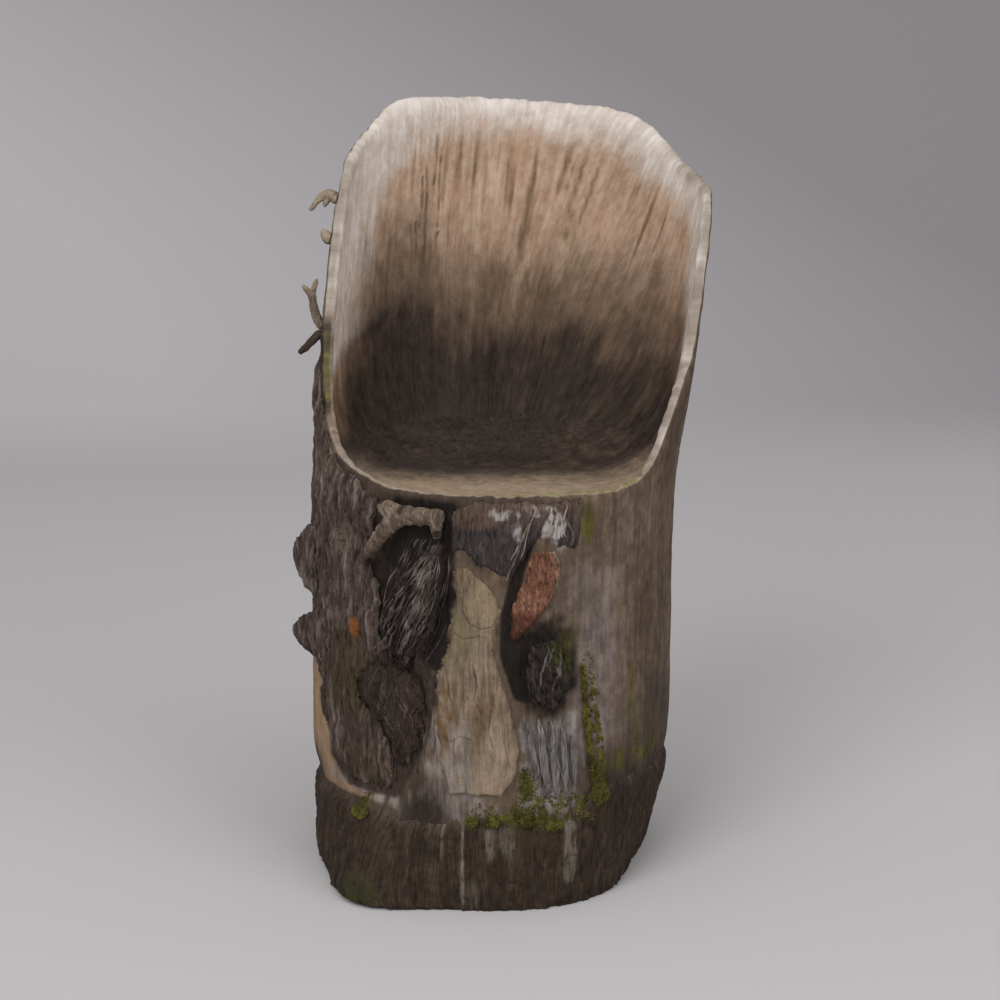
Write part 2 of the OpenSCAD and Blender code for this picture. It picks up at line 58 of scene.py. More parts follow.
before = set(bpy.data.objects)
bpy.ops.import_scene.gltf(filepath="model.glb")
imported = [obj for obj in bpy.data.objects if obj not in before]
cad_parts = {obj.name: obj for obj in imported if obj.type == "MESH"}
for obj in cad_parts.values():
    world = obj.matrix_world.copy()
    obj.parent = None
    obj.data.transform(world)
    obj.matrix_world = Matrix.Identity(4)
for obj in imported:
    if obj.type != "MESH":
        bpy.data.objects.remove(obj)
cad_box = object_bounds()

# Millimetre in Blender's units
MM = 0.001
# Points of a CAD mesh that lie closer together than this are one point
DOUBLES = 0.01 * MM
# The log stands upright up to LEAN_FROM and leans to +X above it
FOOT_X = -3 * MM
LEAN = 44 * MM
LEAN_FROM = 440 * MM
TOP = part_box("log")[1].z
# Radius at which directions around the log turn into distances along its surface
GRAIN_R = 200 * MM
# Height of the lowest place in the seat's dish
DISH = 466 * MM
# Fibres are laid onto a piece by rays that start this far from the log's axis, and reach this far
FIBRES_FROM = 280 * MM
FIBRES_REACH = 160 * MM


# Noise and easing


def ease(x, start, end):
    """Rises smoothly from 0 at start to 1 at end. Falls where end is below start."""
    t = np.clip((x - start) / (end - start), 0, 1)
    return t * t * (3 - 2 * t)


def band(x, low, high, soft):
    """1 between low and high, falling to 0 over soft on both sides."""
    return ease(x, low - soft, low + soft) * ease(x, high + soft, high - soft)


# Slopes that the noise takes for the corners of its cells
slopes = np.random.default_rng(7).normal(size=(256, 3))
slopes /= np.linalg.norm(slopes, axis=1)[:, None]


def noise(points, seed=0):
    """Smooth gradient noise between about -1 and 1, with one bump for each unit of length."""
    cell = np.floor(points).astype(np.int64)
    part = points - cell
    fade = part**3 * (part * (part * 6 - 15) + 10)
    total = np.zeros(len(points))
    for corner in itertools.product((0, 1), repeat=3):
        at = cell + corner
        # A number that looks random, mixed from the corner's place and the seed
        mixed = at[:, 0] * 73856093 ^ at[:, 1] * 19349663 ^ at[:, 2] * 83492791 ^ (seed + 1) * 2654435761
        mixed = (mixed ^ mixed >> 15) * 2246822519 & 0x7FFFFFFF
        slope = slopes[(mixed >> 11) % 256]
        weight = np.prod(np.where(corner, fade, 1 - fade), axis=1)
        total += weight * ((part - corner) * slope).sum(1)
    return total * 1.5


def rough(points, seed=0, octaves=4, gain=0.5):
    """Noise with finer and weaker noise on top of it."""
    total = np.zeros(len(points))
    for octave in range(octaves):
        total += gain**octave * noise(points * 2**octave, seed + octave * 13)
    return total


def furrows(points, seed=0, octaves=3):
    """0 in the furrows and near 1 on the ridges between them."""
    total = np.zeros(len(points))
    weight = 0
    for octave in range(octaves):
        share = 0.55**octave
        total += share * np.abs(noise(points * 2**octave, seed + octave * 17))
        weight += share
    return np.clip(total / weight * 2.2, 0, 1)


# Shapes


def modify(piece, kind, **settings):
    """Puts a modifier on a piece and applies it."""
    modifier = piece.modifiers.new(kind.lower(), kind)
    for name, value in settings.items():
        setattr(modifier, name, value)
    graph = bpy.context.evaluated_depsgraph_get()
    mesh = bpy.data.meshes.new_from_object(piece.evaluated_get(graph))
    piece.modifiers.clear()
    old = piece.data
    piece.data = mesh
    bpy.data.meshes.remove(old)


def new_piece(name, shape):
    """Turns a bmesh into a piece of the chair."""
    mesh = bpy.data.meshes.new(name)
    shape.to_mesh(mesh)
    shape.free()
    piece = bpy.data.objects.new(name, mesh)
    bpy.context.scene.collection.objects.link(piece)
    return piece


def merged(node):
    """Copy of a CAD node's mesh with its doubles merged."""
    shape = bmesh.new()
    shape.from_mesh(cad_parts[node].data)
    bmesh.ops.remove_doubles(shape, verts=shape.verts, dist=DOUBLES)
    return shape


def finer(node, name, levels):
    """Copy of a CAD node with its triangles paired, made finer and smooth."""
    shape = merged(node)
    bmesh.ops.join_triangles(
        shape, faces=shape.faces, angle_face_threshold=math.radians(60), angle_shape_threshold=math.pi
    )
    piece = new_piece(name, shape)
    modify(piece, "SUBSURF", levels=levels, render_levels=levels)
    return piece


def split_long_edges(piece, length):
    """Cuts each edge that is longer than length once."""
    shape = bmesh.new()
    shape.from_mesh(piece.data)
    long = [edge for edge in shape.edges if edge.calc_length() > length]
    bmesh.ops.subdivide_edges(shape, edges=long, cuts=1, use_grid_fill=True)
    shape.to_mesh(piece.data)
    shape.free()


def refine(piece, near, times):
    """Cuts the edges of a piece in two, several times, where near is above 0."""
    shape = bmesh.new()
    shape.from_mesh(piece.data)
    marked = shape.verts.layers.float.new("near")
    for vertex, value in zip(shape.verts, near):
        vertex[marked] = value
    for _ in range(times):
        edges = [edge for edge in shape.edges if edge.verts[0][marked] > 0 and edge.verts[1][marked] > 0]
        bmesh.ops.subdivide_edges(shape, edges=edges, cuts=1, use_grid_fill=True)
    shape.verts.layers.float.remove(marked)
    shape.to_mesh(piece.data)
    shape.free()


def places(piece):
    """Positions and normals of a piece's vertices."""
    count = len(piece.data.vertices)
    at = np.empty(count * 3)
    piece.data.vertices.foreach_get("co", at)
    normal = np.empty(count * 3)
    piece.data.vertex_normals.foreach_get("vector", normal)
    return at.reshape(-1, 3), normal.reshape(-1, 3)


def move(piece, at):
    """Moves a piece's vertices, never out of the CAD model's box."""
    low, high = (np.array(corner) for corner in cad_box)
    piece.data.vertices.foreach_set("co", np.clip(at, low, high).ravel())
    piece.data.update()


def distance_to(points, at):
    """Distance from each place to the nearest of the points."""
    tree = kdtree.KDTree(len(points))
    for i, point in enumerate(points):
        tree.insert(point, i)
    tree.balance()
    return np.array([tree.find(place)[2] for place in at])


def mask(piece, name, values):
    """Keeps a number for each vertex, which the materials read."""
    layer = piece.data.attributes.get(name) or piece.data.attributes.new(name, "FLOAT", "POINT")
    layer.data.foreach_set("value", np.clip(values, 0, 1).astype(np.float32))


def keep_vector(piece, name, vectors):
    """Keeps a vector for each vertex, such as its place in the grain."""
    layer = piece.data.attributes.get(name) or piece.data.attributes.new(name, "FLOAT_VECTOR", "POINT")
    layer.data.foreach_set("vector", vectors.astype(np.float32).ravel())


def axis_at(z):
    """Where the log's axis lies in X at a height."""
    return FOOT_X + LEAN * np.maximum(0, z - LEAN_FROM) / (TOP - LEAN_FROM)


class Spot:
    """Where the vertices of a piece lie around the log: direction in degrees, height and distance."""

    def __init__(self, at, normal):
        x = at[:, 0] - axis_at(at[:, 2])
        self.at = at
        self.z = at[:, 2]
        self.r = np.hypot(x, at[:, 1])
        self.angle = np.degrees(np.arctan2(at[:, 1], x)) % 360
        turn = np.radians(self.angle)
        self.out = np.stack([np.cos(turn), np.sin(turn), np.zeros(len(at))], axis=1)
        self.facing = (normal * self.out).sum(1)
        self.grain = self.out * GRAIN_R + np.outer(self.z, (0, 0, 1))

    def stretched(self, across, along):
        """Grain coordinates in which a pattern is across wide and along high, both in millimetres."""
        return self.grain / (np.array((across, across, along)) * MM)

    def slanted(self, across, along, degrees):
        """The same with the pattern's upper end tilted towards growing directions."""
        tilt = math.radians(degrees)
        side = np.radians(self.angle) * GRAIN_R
        x = side * math.cos(tilt) - self.z * math.sin(tilt)
        z = side * math.sin(tilt) + self.z * math.cos(tilt)
        return np.stack([x / (across * MM), self.r / (across * 2 * MM), z / (along * MM)], axis=1)

    def blob(self, angle, z, half_angle, half_z):
        """1 in the middle of an oval around a direction and a height in mm, 0.5 on its outline."""
        turn = (self.angle - angle + 180) % 360 - 180
        away = np.hypot(turn / half_angle, (self.z / MM - z) / half_z)
        return ease(away, 1.5, 0.5)

    def between(self, left, right, soft=2):
        """1 between two edges, each a list of heights in mm and directions, from low to high."""
        z = self.z / MM
        left_z, left_angle = zip(*left)
        right_z, right_angle = zip(*right)
        low = np.interp(z, left_z, left_angle)
        high = np.interp(z, right_z, right_angle)
        ends = band(z, left_z[0], left_z[-1], soft * 3)
        return band(self.angle, low, high, soft) * ends


def crack(spot, path, width, seed=0):
    """1 on a line through directions and heights in mm, falling to 0 at width mm beside it."""
    wander = [0.8 * rough(spot.at / (9 * MM), seed + i, octaves=2) for i in (0, 5)]
    place = np.stack([np.radians(spot.angle) * GRAIN_R / MM, spot.z / MM], axis=1) + np.stack(wander, axis=1)
    line = [np.array((math.radians(angle) * GRAIN_R / MM, z)) for angle, z in path]
    nearest = np.full(len(place), np.inf)
    for start, end in zip(line, line[1:]):
        step = end - start
        share = np.clip((place - start) @ step / (step @ step), 0, 1)
        nearest = np.minimum(nearest, np.hypot(*(place - start - share[:, None] * step).T))
    return ease(nearest, width, 0)


def cracks(spot, paths, width, seed=0):
    """1 on the nearest of several such lines."""
    return np.max([crack(spot, path, width, seed + 11 * i) for i, path in enumerate(paths)], axis=0)


def fibres(piece, paths, thick, seed):
    """Makes a bundle of thin fibres that lie on a piece.

    Each path is a list of directions and heights in mm. thick is the radius in mm at a fibre's middle.
    """
    tree = BVHTree.FromObject(piece, bpy.context.evaluated_depsgraph_get())
    chance = np.random.default_rng(seed)
    lines = bpy.data.curves.new(piece.name + "_fibres", "CURVE")
    lines.dimensions = "3D"
    # The radius of each point is then its true radius
    lines.bevel_depth = 1
    lines.bevel_resolution = 1
    lines.use_fill_caps = True
    for path in paths:
        knots = np.linspace(0, 1, len(path))
        shares = np.linspace(0, 1, 4 + 5 * len(path))
        phase, size = chance.uniform(0, 6.28), chance.uniform(0.55, 1.25)
        sway = 0.28 * np.sin(shares * 7 + phase) + 0.08 * np.sin(shares * 19 + 2 * phase)
        angles = np.radians(np.interp(shares, knots, [angle for angle, _ in path]) + sway)
        heights = np.interp(shares, knots, [z for _, z in path]) * MM
        line = []
        for angle, z, share in zip(angles, heights, shares):
            out = Vector((math.cos(angle), math.sin(angle), 0))
            start = Vector((axis_at(z), 0, z)) + out * FIBRES_FROM
            hit = tree.ray_cast(start, -out, FIBRES_REACH)[0]
            if hit is not None:
                line.append((hit, share))
        if len(line) < 4:
            continue
        spline = lines.splines.new("POLY")
        spline.points.add(len(line) - 1)
        for point, (hit, share) in zip(spline.points, line):
            point.co = (*hit, 1)
            point.radius = thick * size * MM * (0.15 + 0.85 * math.sin(math.pi * share) ** 0.6)
    bundle = bpy.data.objects.new(piece.name + "_fibres", lines)
    bpy.context.scene.collection.objects.link(bundle)
    return bundle


def lay(left, right, count, length, slant, seed):
    """Random paths for fibres between two edges, each about length mm long.

    The edges are lists of heights in mm and directions. slant is a share of the width between them.
    """
    chance = np.random.default_rng(seed)
    low, high = left[0][0], left[-1][0]
    paths = []
    for _ in range(count):
        size = length * chance.uniform(0.55, 1.35)
        start = chance.uniform(low + 2, max(low + 3, high - 0.5 * size))
        heights = np.linspace(start, min(high - 2, start + size), 5)
        share = np.clip(chance.uniform(0.05, 0.95) + slant * np.linspace(-0.5, 0.5, 5), 0.04, 0.96)
        from_angle = np.interp(heights, *zip(*left))
        to_angle = np.interp(heights, *zip(*right))
        paths.append(list(zip(from_angle + (to_angle - from_angle) * share, heights)))
    return paths


def with_fibres(piece, paths, thick, seed):
    """Adds fibres to a shaped sheet. Returns where its vertices lie and which of them are fibres."""
    count = join(piece, fibres(piece, paths, thick, seed))
    spot = Spot(*places(piece))
    keep_vector(piece, "grain", spot.grain)
    return spot, np.arange(len(spot.z)) >= len(spot.z) - count


def join(piece, other):
    """Moves another object's shape into a piece, and returns how many vertices it has."""
    made = bpy.data.meshes.new_from_object(other.evaluated_get(bpy.context.evaluated_depsgraph_get()))
    shape = bmesh.new()
    shape.from_mesh(piece.data)
    shape.from_mesh(made)
    shape.to_mesh(piece.data)
    shape.free()
    count = len(made.vertices)
    bpy.data.objects.remove(other)
    bpy.data.meshes.remove(made)
    return count


def finish_piece(piece, material, slot, *nodes):
    """Shades a piece smooth and puts it in place of its CAD nodes."""
    piece.data.materials.clear()
    piece.data.materials.append(material)
    piece.data.polygons.foreach_set("use_smooth", [True] * len(piece.data.polygons))
    piece.data.update()
    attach(piece, "root")
    if nodes:
        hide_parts(*nodes)


# Materials


def colour(text):
    """Linear colour from an sRGB hex value. A linear colour stays as it is."""
    if not isinstance(text, str):
        return text
    parts = [int(text[i : i + 2], 16) / 255 for i in (1, 3, 5)]
    return [c / 12.92 if c <= 0.04045 else ((c + 0.055) / 1.055) ** 2.4 for c in parts] + [1]


# Dry, rough, uncoated wood and bark scatter light and hardly shine. Their IOR is near the default
DRY_ROUGHNESS = 0.88
DRY_SHEEN = 0.25


def add(tree, kind, links=None, **settings):
    """Adds a node with its settings, and sets or links its inputs."""
    node = tree.nodes.new("ShaderNode" + kind)
    for name, value in settings.items():
        setattr(node, name, value)
    for name, value in (links or {}).items():
        if isinstance(value, bpy.types.NodeSocket):
            tree.links.new(value, node.inputs[name])
        else:
            node.inputs[name].default_value = value
    return node


def grown(
    name, tones, grain, layers, groove="#1c1613", groove_share=0.8, flecks=0.35, bump=0.4, brushed=0.58
):
    """A grown surface: wood, bark, roots or moss.

    tones are its dark, middle and light colours. grain is the width and the length of its grain in
    millimetres. Each layer has a mask, a dark and a light colour, the size in millimetres of the
    breaks in its edge, and how soft that edge is, up to 0.5. groove is the colour of its furrows,
    their own dark colour deepened by painted shade, which the piece's groove mask marks, and
    groove_share is how fully it covers them. flecks is how strong its pale flecks and dark pits are,
    bump is the height in millimetres of its finest relief, and brushed is the share of its pattern
    that follows the grain.
    """
    material = bpy.data.materials.new(name)
    material.use_nodes = True
    tree = material.node_tree
    shader = tree.nodes["Principled BSDF"]
    where = add(tree, "Attribute", attribute_name="grain").outputs["Vector"]
    across, along = grain
    # Width and height of each pattern in millimetres, its detail and its roughness. Real fibres and
    # pores are a few tenths of a millimetre wide, too fine to show, so the grain is drawn as coarse
    # as it needs to show
    sizes = {
        "fine": (across, along, 6, 0.65),
        "streak": (across * 5, along * 3, 5, 0.6),
        "mottle": (12, 17, 6, 0.7),
        "blotch": (45, 80, 4, 0.6),
        "fleck": (3, 4, 3, 0.6),
    }
    sizes.update({layer: (breaks, breaks * 3, 5, 0.7) for layer, _, _, breaks, _ in layers})
    parts = {}
    for part, (wide, high, detail, roughness) in sizes.items():
        scale = [1 / (wide * MM), 1 / (wide * MM), 1 / (high * MM)]
        place = add(tree, "Mapping", {"Vector": where, "Scale": scale}).outputs[0]
        links = {"Vector": place, "Scale": 1.0, "Detail": detail, "Roughness": roughness}
        parts[part] = add(tree, "TexNoise", links).outputs["Fac"]

    # The tone is a blend of patterns. It stays near 0.5, so its middle is stretched
    even = 1 - brushed
    shares = {"fine": 0.65 * brushed, "streak": 0.35 * brushed, "mottle": 0.64 * even, "blotch": 0.36 * even}
    blend = 0.0
    for part, share in shares.items():
        blend = add(tree, "Math", {0: parts[part], 1: share, 2: blend}, operation="MULTIPLY_ADD").outputs[0]
    ramp = add(tree, "ValToRGB", {"Fac": blend})
    ramp.color_ramp.elements[0].position = 0.38
    ramp.color_ramp.elements[1].position = 0.62
    ramp.color_ramp.elements[0].color = colour(tones[0])
    ramp.color_ramp.elements[1].color = colour(tones[2])
    ramp.color_ramp.elements.new(0.5).color = colour(tones[1])
    look = ramp.outputs[0]

    # Each layer lies where its mask is strong, and noise breaks up its edge
    smooth = {"interpolation_type": "SMOOTHSTEP"}
    reach = {"Value": blend, "From Min": 0.37, "From Max": 0.63}
    contrast = add(tree, "MapRange", reach, **smooth).outputs[0]
    for layer, dark, light, _, soft in layers:
        shape = add(tree, "Attribute", attribute_name=layer).outputs["Fac"]
        edge = add(tree, "Math", {0: parts[layer], 1: 1.4, 2: 0.3}, operation="MULTIPLY_ADD").outputs[0]
        edge = add(tree, "Math", {0: edge, 1: shape}, operation="MULTIPLY").outputs[0]
        reach = {"Value": edge, "From Min": 0.5 - soft, "From Max": 0.5 + soft}
        share = add(tree, "MapRange", reach, **smooth).outputs[0]
        paint = {0: contrast, 6: colour(dark), 7: colour(light)}
        paint = add(tree, "Mix", paint, data_type="RGBA").outputs[2]
        look = add(tree, "Mix", {0: share, 6: look, 7: paint}, data_type="RGBA").outputs[2]

    # Dark furrows, their own dark colour deepened by painted shade, then pale flecks and dark pits
    hollow = add(tree, "Attribute", attribute_name="groove").outputs["Fac"]
    depth = add(tree, "Math", {0: hollow, 1: groove_share}, operation="MULTIPLY").outputs[0]
    look = add(tree, "Mix", {0: depth, 6: look, 7: colour(groove)}, data_type="RGBA").outputs[2]
    for low, high, most, paint in ((0.64, 0.8, flecks, tones[2]), (0.39, 0.27, 1.4 * flecks, groove)):
        reach = {"Value": parts["fleck"], "From Min": low, "From Max": high, "To Max": most}
        share = add(tree, "MapRange", reach, **smooth).outputs[0]
        look = add(tree, "Mix", {0: share, 6: look, 7: colour(paint)}, data_type="RGBA").outputs[2]

    height = parts["fine"]
    for part, share in (("fleck", 0.35), ("mottle", 1.2)):
        height = add(tree, "Math", {0: parts[part], 1: share, 2: height}, operation="MULTIPLY_ADD").outputs[0]
    relief = add(tree, "Bump", {"Height": height, "Distance": bump * MM, "Strength": 1.0})
    tree.links.new(look, shader.inputs["Base Color"])
    tree.links.new(relief.outputs[0], shader.inputs["Normal"])
    shader.inputs["Roughness"].default_value = DRY_ROUGHNESS
    shader.inputs["Specular IOR Level"].default_value = DRY_SHEEN
    return material


# Trunk


def rim_points():
    """The highest point of the log in each direction."""
    shape = merged("log")
    at = np.array([vertex.co for vertex in shape.verts])
    shape.free()
    spot = Spot(at, at)
    # Quarters of a degree around the log
    column = np.round(spot.angle * 4).astype(int) % 1440
    highest = [at[column == c][at[column == c][:, 2].argmax()] for c in np.unique(column)]
    highest = [p for p in highest if p[2] > DISH + 5 * MM]
    highest.append(highest[0])
    steps = np.linspace(0, 1, 8, endpoint=False)
    return np.concatenate([[p + (q - p) * t for t in steps] for p, q in zip(highest, highest[1:])])


def soften_rim(piece):
    """Rounds the rim of the hollow: fully within 8 mm of its crest, and less and less up to 24 mm."""
    at, _ = places(piece)
    near = ease(distance_to(rim_points(), at) / MM, 24, 8)
    group = piece.vertex_groups.new(name="rim")
    for i in np.flatnonzero(near):
        group.add([int(i)], near[i], "REPLACE")
    modify(piece, "SMOOTH", factor=0.5, iterations=12, vertex_group="rim")
    piece.vertex_groups.clear()


# Drying cracks, as directions and heights in millimetres: deep and faint ones in the hollow, and
# those in the bare wood outside
DEEP_CRACKS = [
    [(133.5, 812), (132.6, 790), (132.2, 750), (131.4, 715), (131.8, 703)],
    [(128.2, 840), (127.8, 812), (127.2, 775), (126.9, 745)],
    [(136.3, 752), (135.6, 735), (135, 712)],
    [(138.2, 748), (137.6, 728)],
    [(130.2, 856), (129.7, 828), (129.9, 796)],
    [(134.9, 806), (134.3, 776), (134.6, 744)],
    [(126.5, 738), (127.4, 726), (126.2, 704)],
]
FAINT_CRACKS = [
    [(109, 726), (110.3, 716), (109.6, 702)],
    [(119.5, 676), (117.5, 684), (113, 688), (110, 695), (106.5, 694)],
    [(118.8, 678), (120.2, 661), (115.5, 652), (110, 641)],
    [(99, 838), (98.4, 800), (97.5, 762)],
    [(84, 700), (85, 668), (84, 640)],
    [(60.5, 760), (58.2, 748), (60, 741), (57.4, 734), (58.6, 726)],
]
OUTER_CRACKS = [
    [(338, 440), (339, 380), (337.6, 320)],
    [(327, 300), (328.4, 250), (327, 205)],
    [(352, 560), (353, 470), (351, 395)],
    [(14, 690), (15.5, 600), (13.5, 520), (15, 455)],
    [(36, 400), (35, 330), (36.5, 250)],
    [(58, 760), (57, 680), (59, 600)],
    [(84, 480), (85.5, 400), (83.5, 300), (85, 230)],
    [(150, 780), (151, 720), (149, 640)],
]


# Longest edge of the log's mesh, short enough for its furrows
LOG_EDGE = 5.2 * MM
# How near a crack the mesh is made finer still, in millimetres
CRACK_MARGIN = 6
# Height at which slanted streaks keep their direction around the log
SLANT_LEVEL = 750 * MM


def build_trunk(piece):
    """Gives the log its grain, furrows, cracks and worn rim, and marks where each tone goes."""
    # Finer along the cracks, and most of all along the deep ones
    for paths, times in ((DEEP_CRACKS, 2), (FAINT_CRACKS + OUTER_CRACKS, 1)):
        spot = Spot(*places(piece))
        refine(piece, cracks(spot, paths, CRACK_MARGIN, 300), times)
    at, normal = places(piece)
    spot = Spot(at, normal)
    z, angle = spot.z / MM, spot.angle
    rim = distance_to(rim_points(), at) / MM
    inside = ease(spot.facing, 0.55, 0.15) * ease(z, 455, 464)
    outside = 1 - inside
    floor = inside * ease(z, 520, 480)

    # On the right the streaks in the hollow slant towards the middle, by up to 105 degrees a metre
    slant = 105 * ease(angle, 112, 45) * ease(np.abs(angle - 180), 5, 20) * inside
    turned = Spot(at, normal)
    turn = np.radians(angle + slant * (spot.z - SLANT_LEVEL))
    radius = GRAIN_R + (spot.r - GRAIN_R) * floor
    turned.grain = np.stack([np.cos(turn) * radius, np.sin(turn) * radius, spot.z], axis=1)
    keep_vector(piece, "grain", turned.grain)

    # Relief around the surface, inwards where it is positive
    fine = furrows(turned.stretched(7, 110), 3)
    broad = rough(turned.stretched(38, 120), 5, octaves=3)
    worn = rough(spot.at / (26 * MM), 9, octaves=3)
    dark = dark_places(spot)
    gaps = ease(noise(spot.at / (14 * MM), 66), -0.6, 0.3)
    faint = 0.4 * cracks(spot, FAINT_CRACKS, 1.8, 500)
    split = np.maximum(cracks(spot, DEEP_CRACKS, 2.8, 300), faint) * inside
    split = gaps * np.maximum(split, 0.8 * cracks(spot, OUTER_CRACKS, 1.8, 700) * outside)
    crumb = rough(spot.at / (8 * MM), 12, octaves=3)
    torn = furrows(spot.slanted(7, 65, 8), 15)
    settings = bpy.context.scene.stump_trunk
    depth = outside * (settings.furrow_depth / MM * (0.6 - fine) + 1.2 * broad)
    depth += inside * (0.4 * (0.6 - fine) + 1.5 * broad) * (1 - 0.8 * floor)
    depth += dark * (5 * (1 - torn) + 1.5 * worn) * outside
    depth *= ease(rim, 0, 22) * 0.7 + 0.3
    lip = band(angle, 215, 325, 10) * ease(z, 505, 490)
    depth += ease(rim, 28, 0) * 2.4 * worn + ease(rim, 13, 0) * ((1.5 + 1.8 * lip) * crumb - 1)
    depth += split * settings.crack_depth / MM
    at = at - normal * depth[:, None] * MM
    at[:, 2] += 2 * ease(rim, 18, 0) * MM
    move(piece, at)

    torn = dark * ease(torn, 0.4, 0.05)
    # The groove colour darkens the furrows and cracks: their own dark colour deepened by painted shade
    mask(piece, "groove", outside * np.maximum(ease(fine, 0.22, 0.02) * 0.45, torn) + split * 0.62)
    paint_outside(piece, spot, outside, dark, rim)
    paint_hollow(piece, spot, turned, inside, floor, rim)


def dark_places(spot):
    """Dark wood below the ivy stem and around the slab, the red plate and the burl: decayed and fibrous, and
    partly painted shade of the recesses there.
    """
    slab = spot.between([(236, 205), (470, 205)], [(236, 249), (300, 252), (400, 256), (470, 257)])
    below = spot.between([(120, 212), (150, 204), (260, 200)], [(120, 234), (200, 246), (260, 249)])
    slab = np.maximum(slab, below)
    slab = np.maximum(slab, spot.between([(400, 182), (450, 182)], [(400, 212), (450, 212)]))
    right = spot.between(
        [(250, 276), (300, 271), (345, 271), (400, 275), (440, 279)],
        [(250, 283), (300, 281), (345, 275), (400, 279), (440, 283)],
        soft=1.5,
    )
    burl = spot.blob(286, 290, 10, 62) * (0.8 + 0.6 * noise(spot.at / (17 * MM), 17))
    return np.clip(slab + right + burl, 0, 1)


def paint_outside(piece, spot, outside, dark, rim):
    """Marks the tones of the log's outer side and of its rim."""
    z, angle = spot.z / MM, spot.angle
    drift = 3 * noise(spot.at / (28 * MM), 77) + 1.2 * noise(spot.at / (9 * MM), 78)
    spot.angle = spot.angle + drift
    # The rim's crest is pale, but brown where it comes forward around the lip and the left arm
    crest = ease(rim + 2.5 * drift, 19, 0) * ease(z, 440, 480)
    crest *= ease(spot.facing, np.interp(z, (560, 720), (0.75, 0.95)), np.interp(z, (560, 720), (0.2, 0.45)))
    browned = np.interp(angle, (170, 186, 203, 212, 300, 326), (0, 0.6, 0.5, 0.06, 0.3, 0))
    browned = browned * ease(z, 720, 600)
    mask(piece, "pale_rim", crest * (0.85 - browned) * ease(z, 880, 800))
    mask(piece, "worn_rim", crest * 0.9 * ease(browned, 0.05, 0.4))
    # Dark fibrous wood: partly its own colour, partly painted shade in the carved recesses
    mask(piece, "fibrous", dark * outside)
    # Painted black shadow in the recesses beside and below the slab and under the ivy stem, and on the dark
    # wood right of the middle and around the burl
    wet = spot.between([(392, 231), (474, 234)], [(392, 254), (474, 257)], soft=3)
    wet = np.maximum(wet, spot.between([(280, 246), (400, 250)], [(280, 252), (400, 256)]))
    wet = np.maximum(wet, spot.between([(290, 226), (400, 219)], [(290, 236), (400, 236)], soft=3) * 0.7)
    mask(piece, "decayed", outside * np.maximum(wet, dark * ease(angle, 262, 268)))
    # A mauve cast right of the middle, and fresh wood where bark has come off at the left
    mauve = spot.between([(180, 294), (400, 292)], [(180, 312), (400, 309)], soft=9)
    mask(piece, "mauve", 0.9 * mauve * outside)
    orange = spot.between([(112, 196), (150, 178), (262, 176)], [(112, 224), (150, 210), (262, 200)])
    mask(piece, "orange", orange * outside)
    # Chalky crusts low in front and along the foot bark
    lime = spot.between([(100, 230), (150, 244), (230, 246)], [(100, 276), (150, 262), (230, 250)], soft=4)
    above = np.interp(angle, (200, 214, 228, 245), (120, 118, 109, 106))
    lime = np.maximum(lime, band(z, above, above + 20, 5) * band(angle, 202, 238, 6))
    flaky = 0.62 + 0.55 * noise(spot.stretched(6, 45), 79) + 0.3 * noise(spot.stretched(2.5, 14), 80)
    mask(piece, "lime", np.maximum(lime * flaky, spot.blob(291, 440, 4, 18)) * outside)
    # Green films under the tufts of moss and beside them
    moss = np.maximum(spot.blob(279.5, 150, 1.8, 18), spot.blob(304, 140, 2, 24))
    patches = [(318, 248, 1.6, 34), (321, 185, 1.6, 34), (313, 165, 2.5, 14), (330, 162, 8, 12)]
    for patch in patches + [(299, 452, 2, 26), (307, 150, 3, 26)]:
        moss = np.maximum(moss, 0.7 * spot.blob(*patch))
    moss = np.maximum(moss, 0.4 * spot.blob(292.5, 316, 3, 30))
    mask(piece, "moss", moss * outside)
    # Bleached wood around the splinters
    silver = spot.between([(112, 278), (235, 276)], [(112, 299), (235, 297)], soft=3)
    mask(piece, "silver", silver * outside * (1 - dark) * flaky)
    # Painted shade on the back's edges, at the foot and under the lip
    edge = np.clip(band(angle, 140, 175, 14) + 0.45 * band(angle, 322, 352, 14), 0, 1)
    foot = ease(z + 4 * drift, 300, 120) * band(angle, 300, 360, 6)
    under_lip = ease(z + 5 * drift, 452, 472) * band(angle, 205, 286, 8)
    low = ease(z + 4 * drift, 156, 118) * band(angle, 180, 245, 6)
    mask(piece, "shaded", outside * np.clip(0.8 * edge + foot + 0.6 * low + under_lip, 0, 1))
    # The foot darkens towards the floor, least at the middle of the front and at the fresh wood
    centre = 1 - 0.75 * band(angle, 252, 297, 8)
    centre = np.minimum(centre, 1 - 0.8 * band(angle, 196, 236, 6))
    # The arm's crest is dark on its outer half
    arm = band(angle, 166, 206, 5) * band(z, 540, 655, 12) * ease(rim, 15, 9) * ease(spot.facing, -0.5, 0)
    arm *= 0.75 + 0.5 * noise(spot.stretched(6, 30), 81)
    mask(piece, "damp", np.maximum(outside * ease(z + 7 * drift, 190, 112) * centre, arm))
    spot.angle = angle


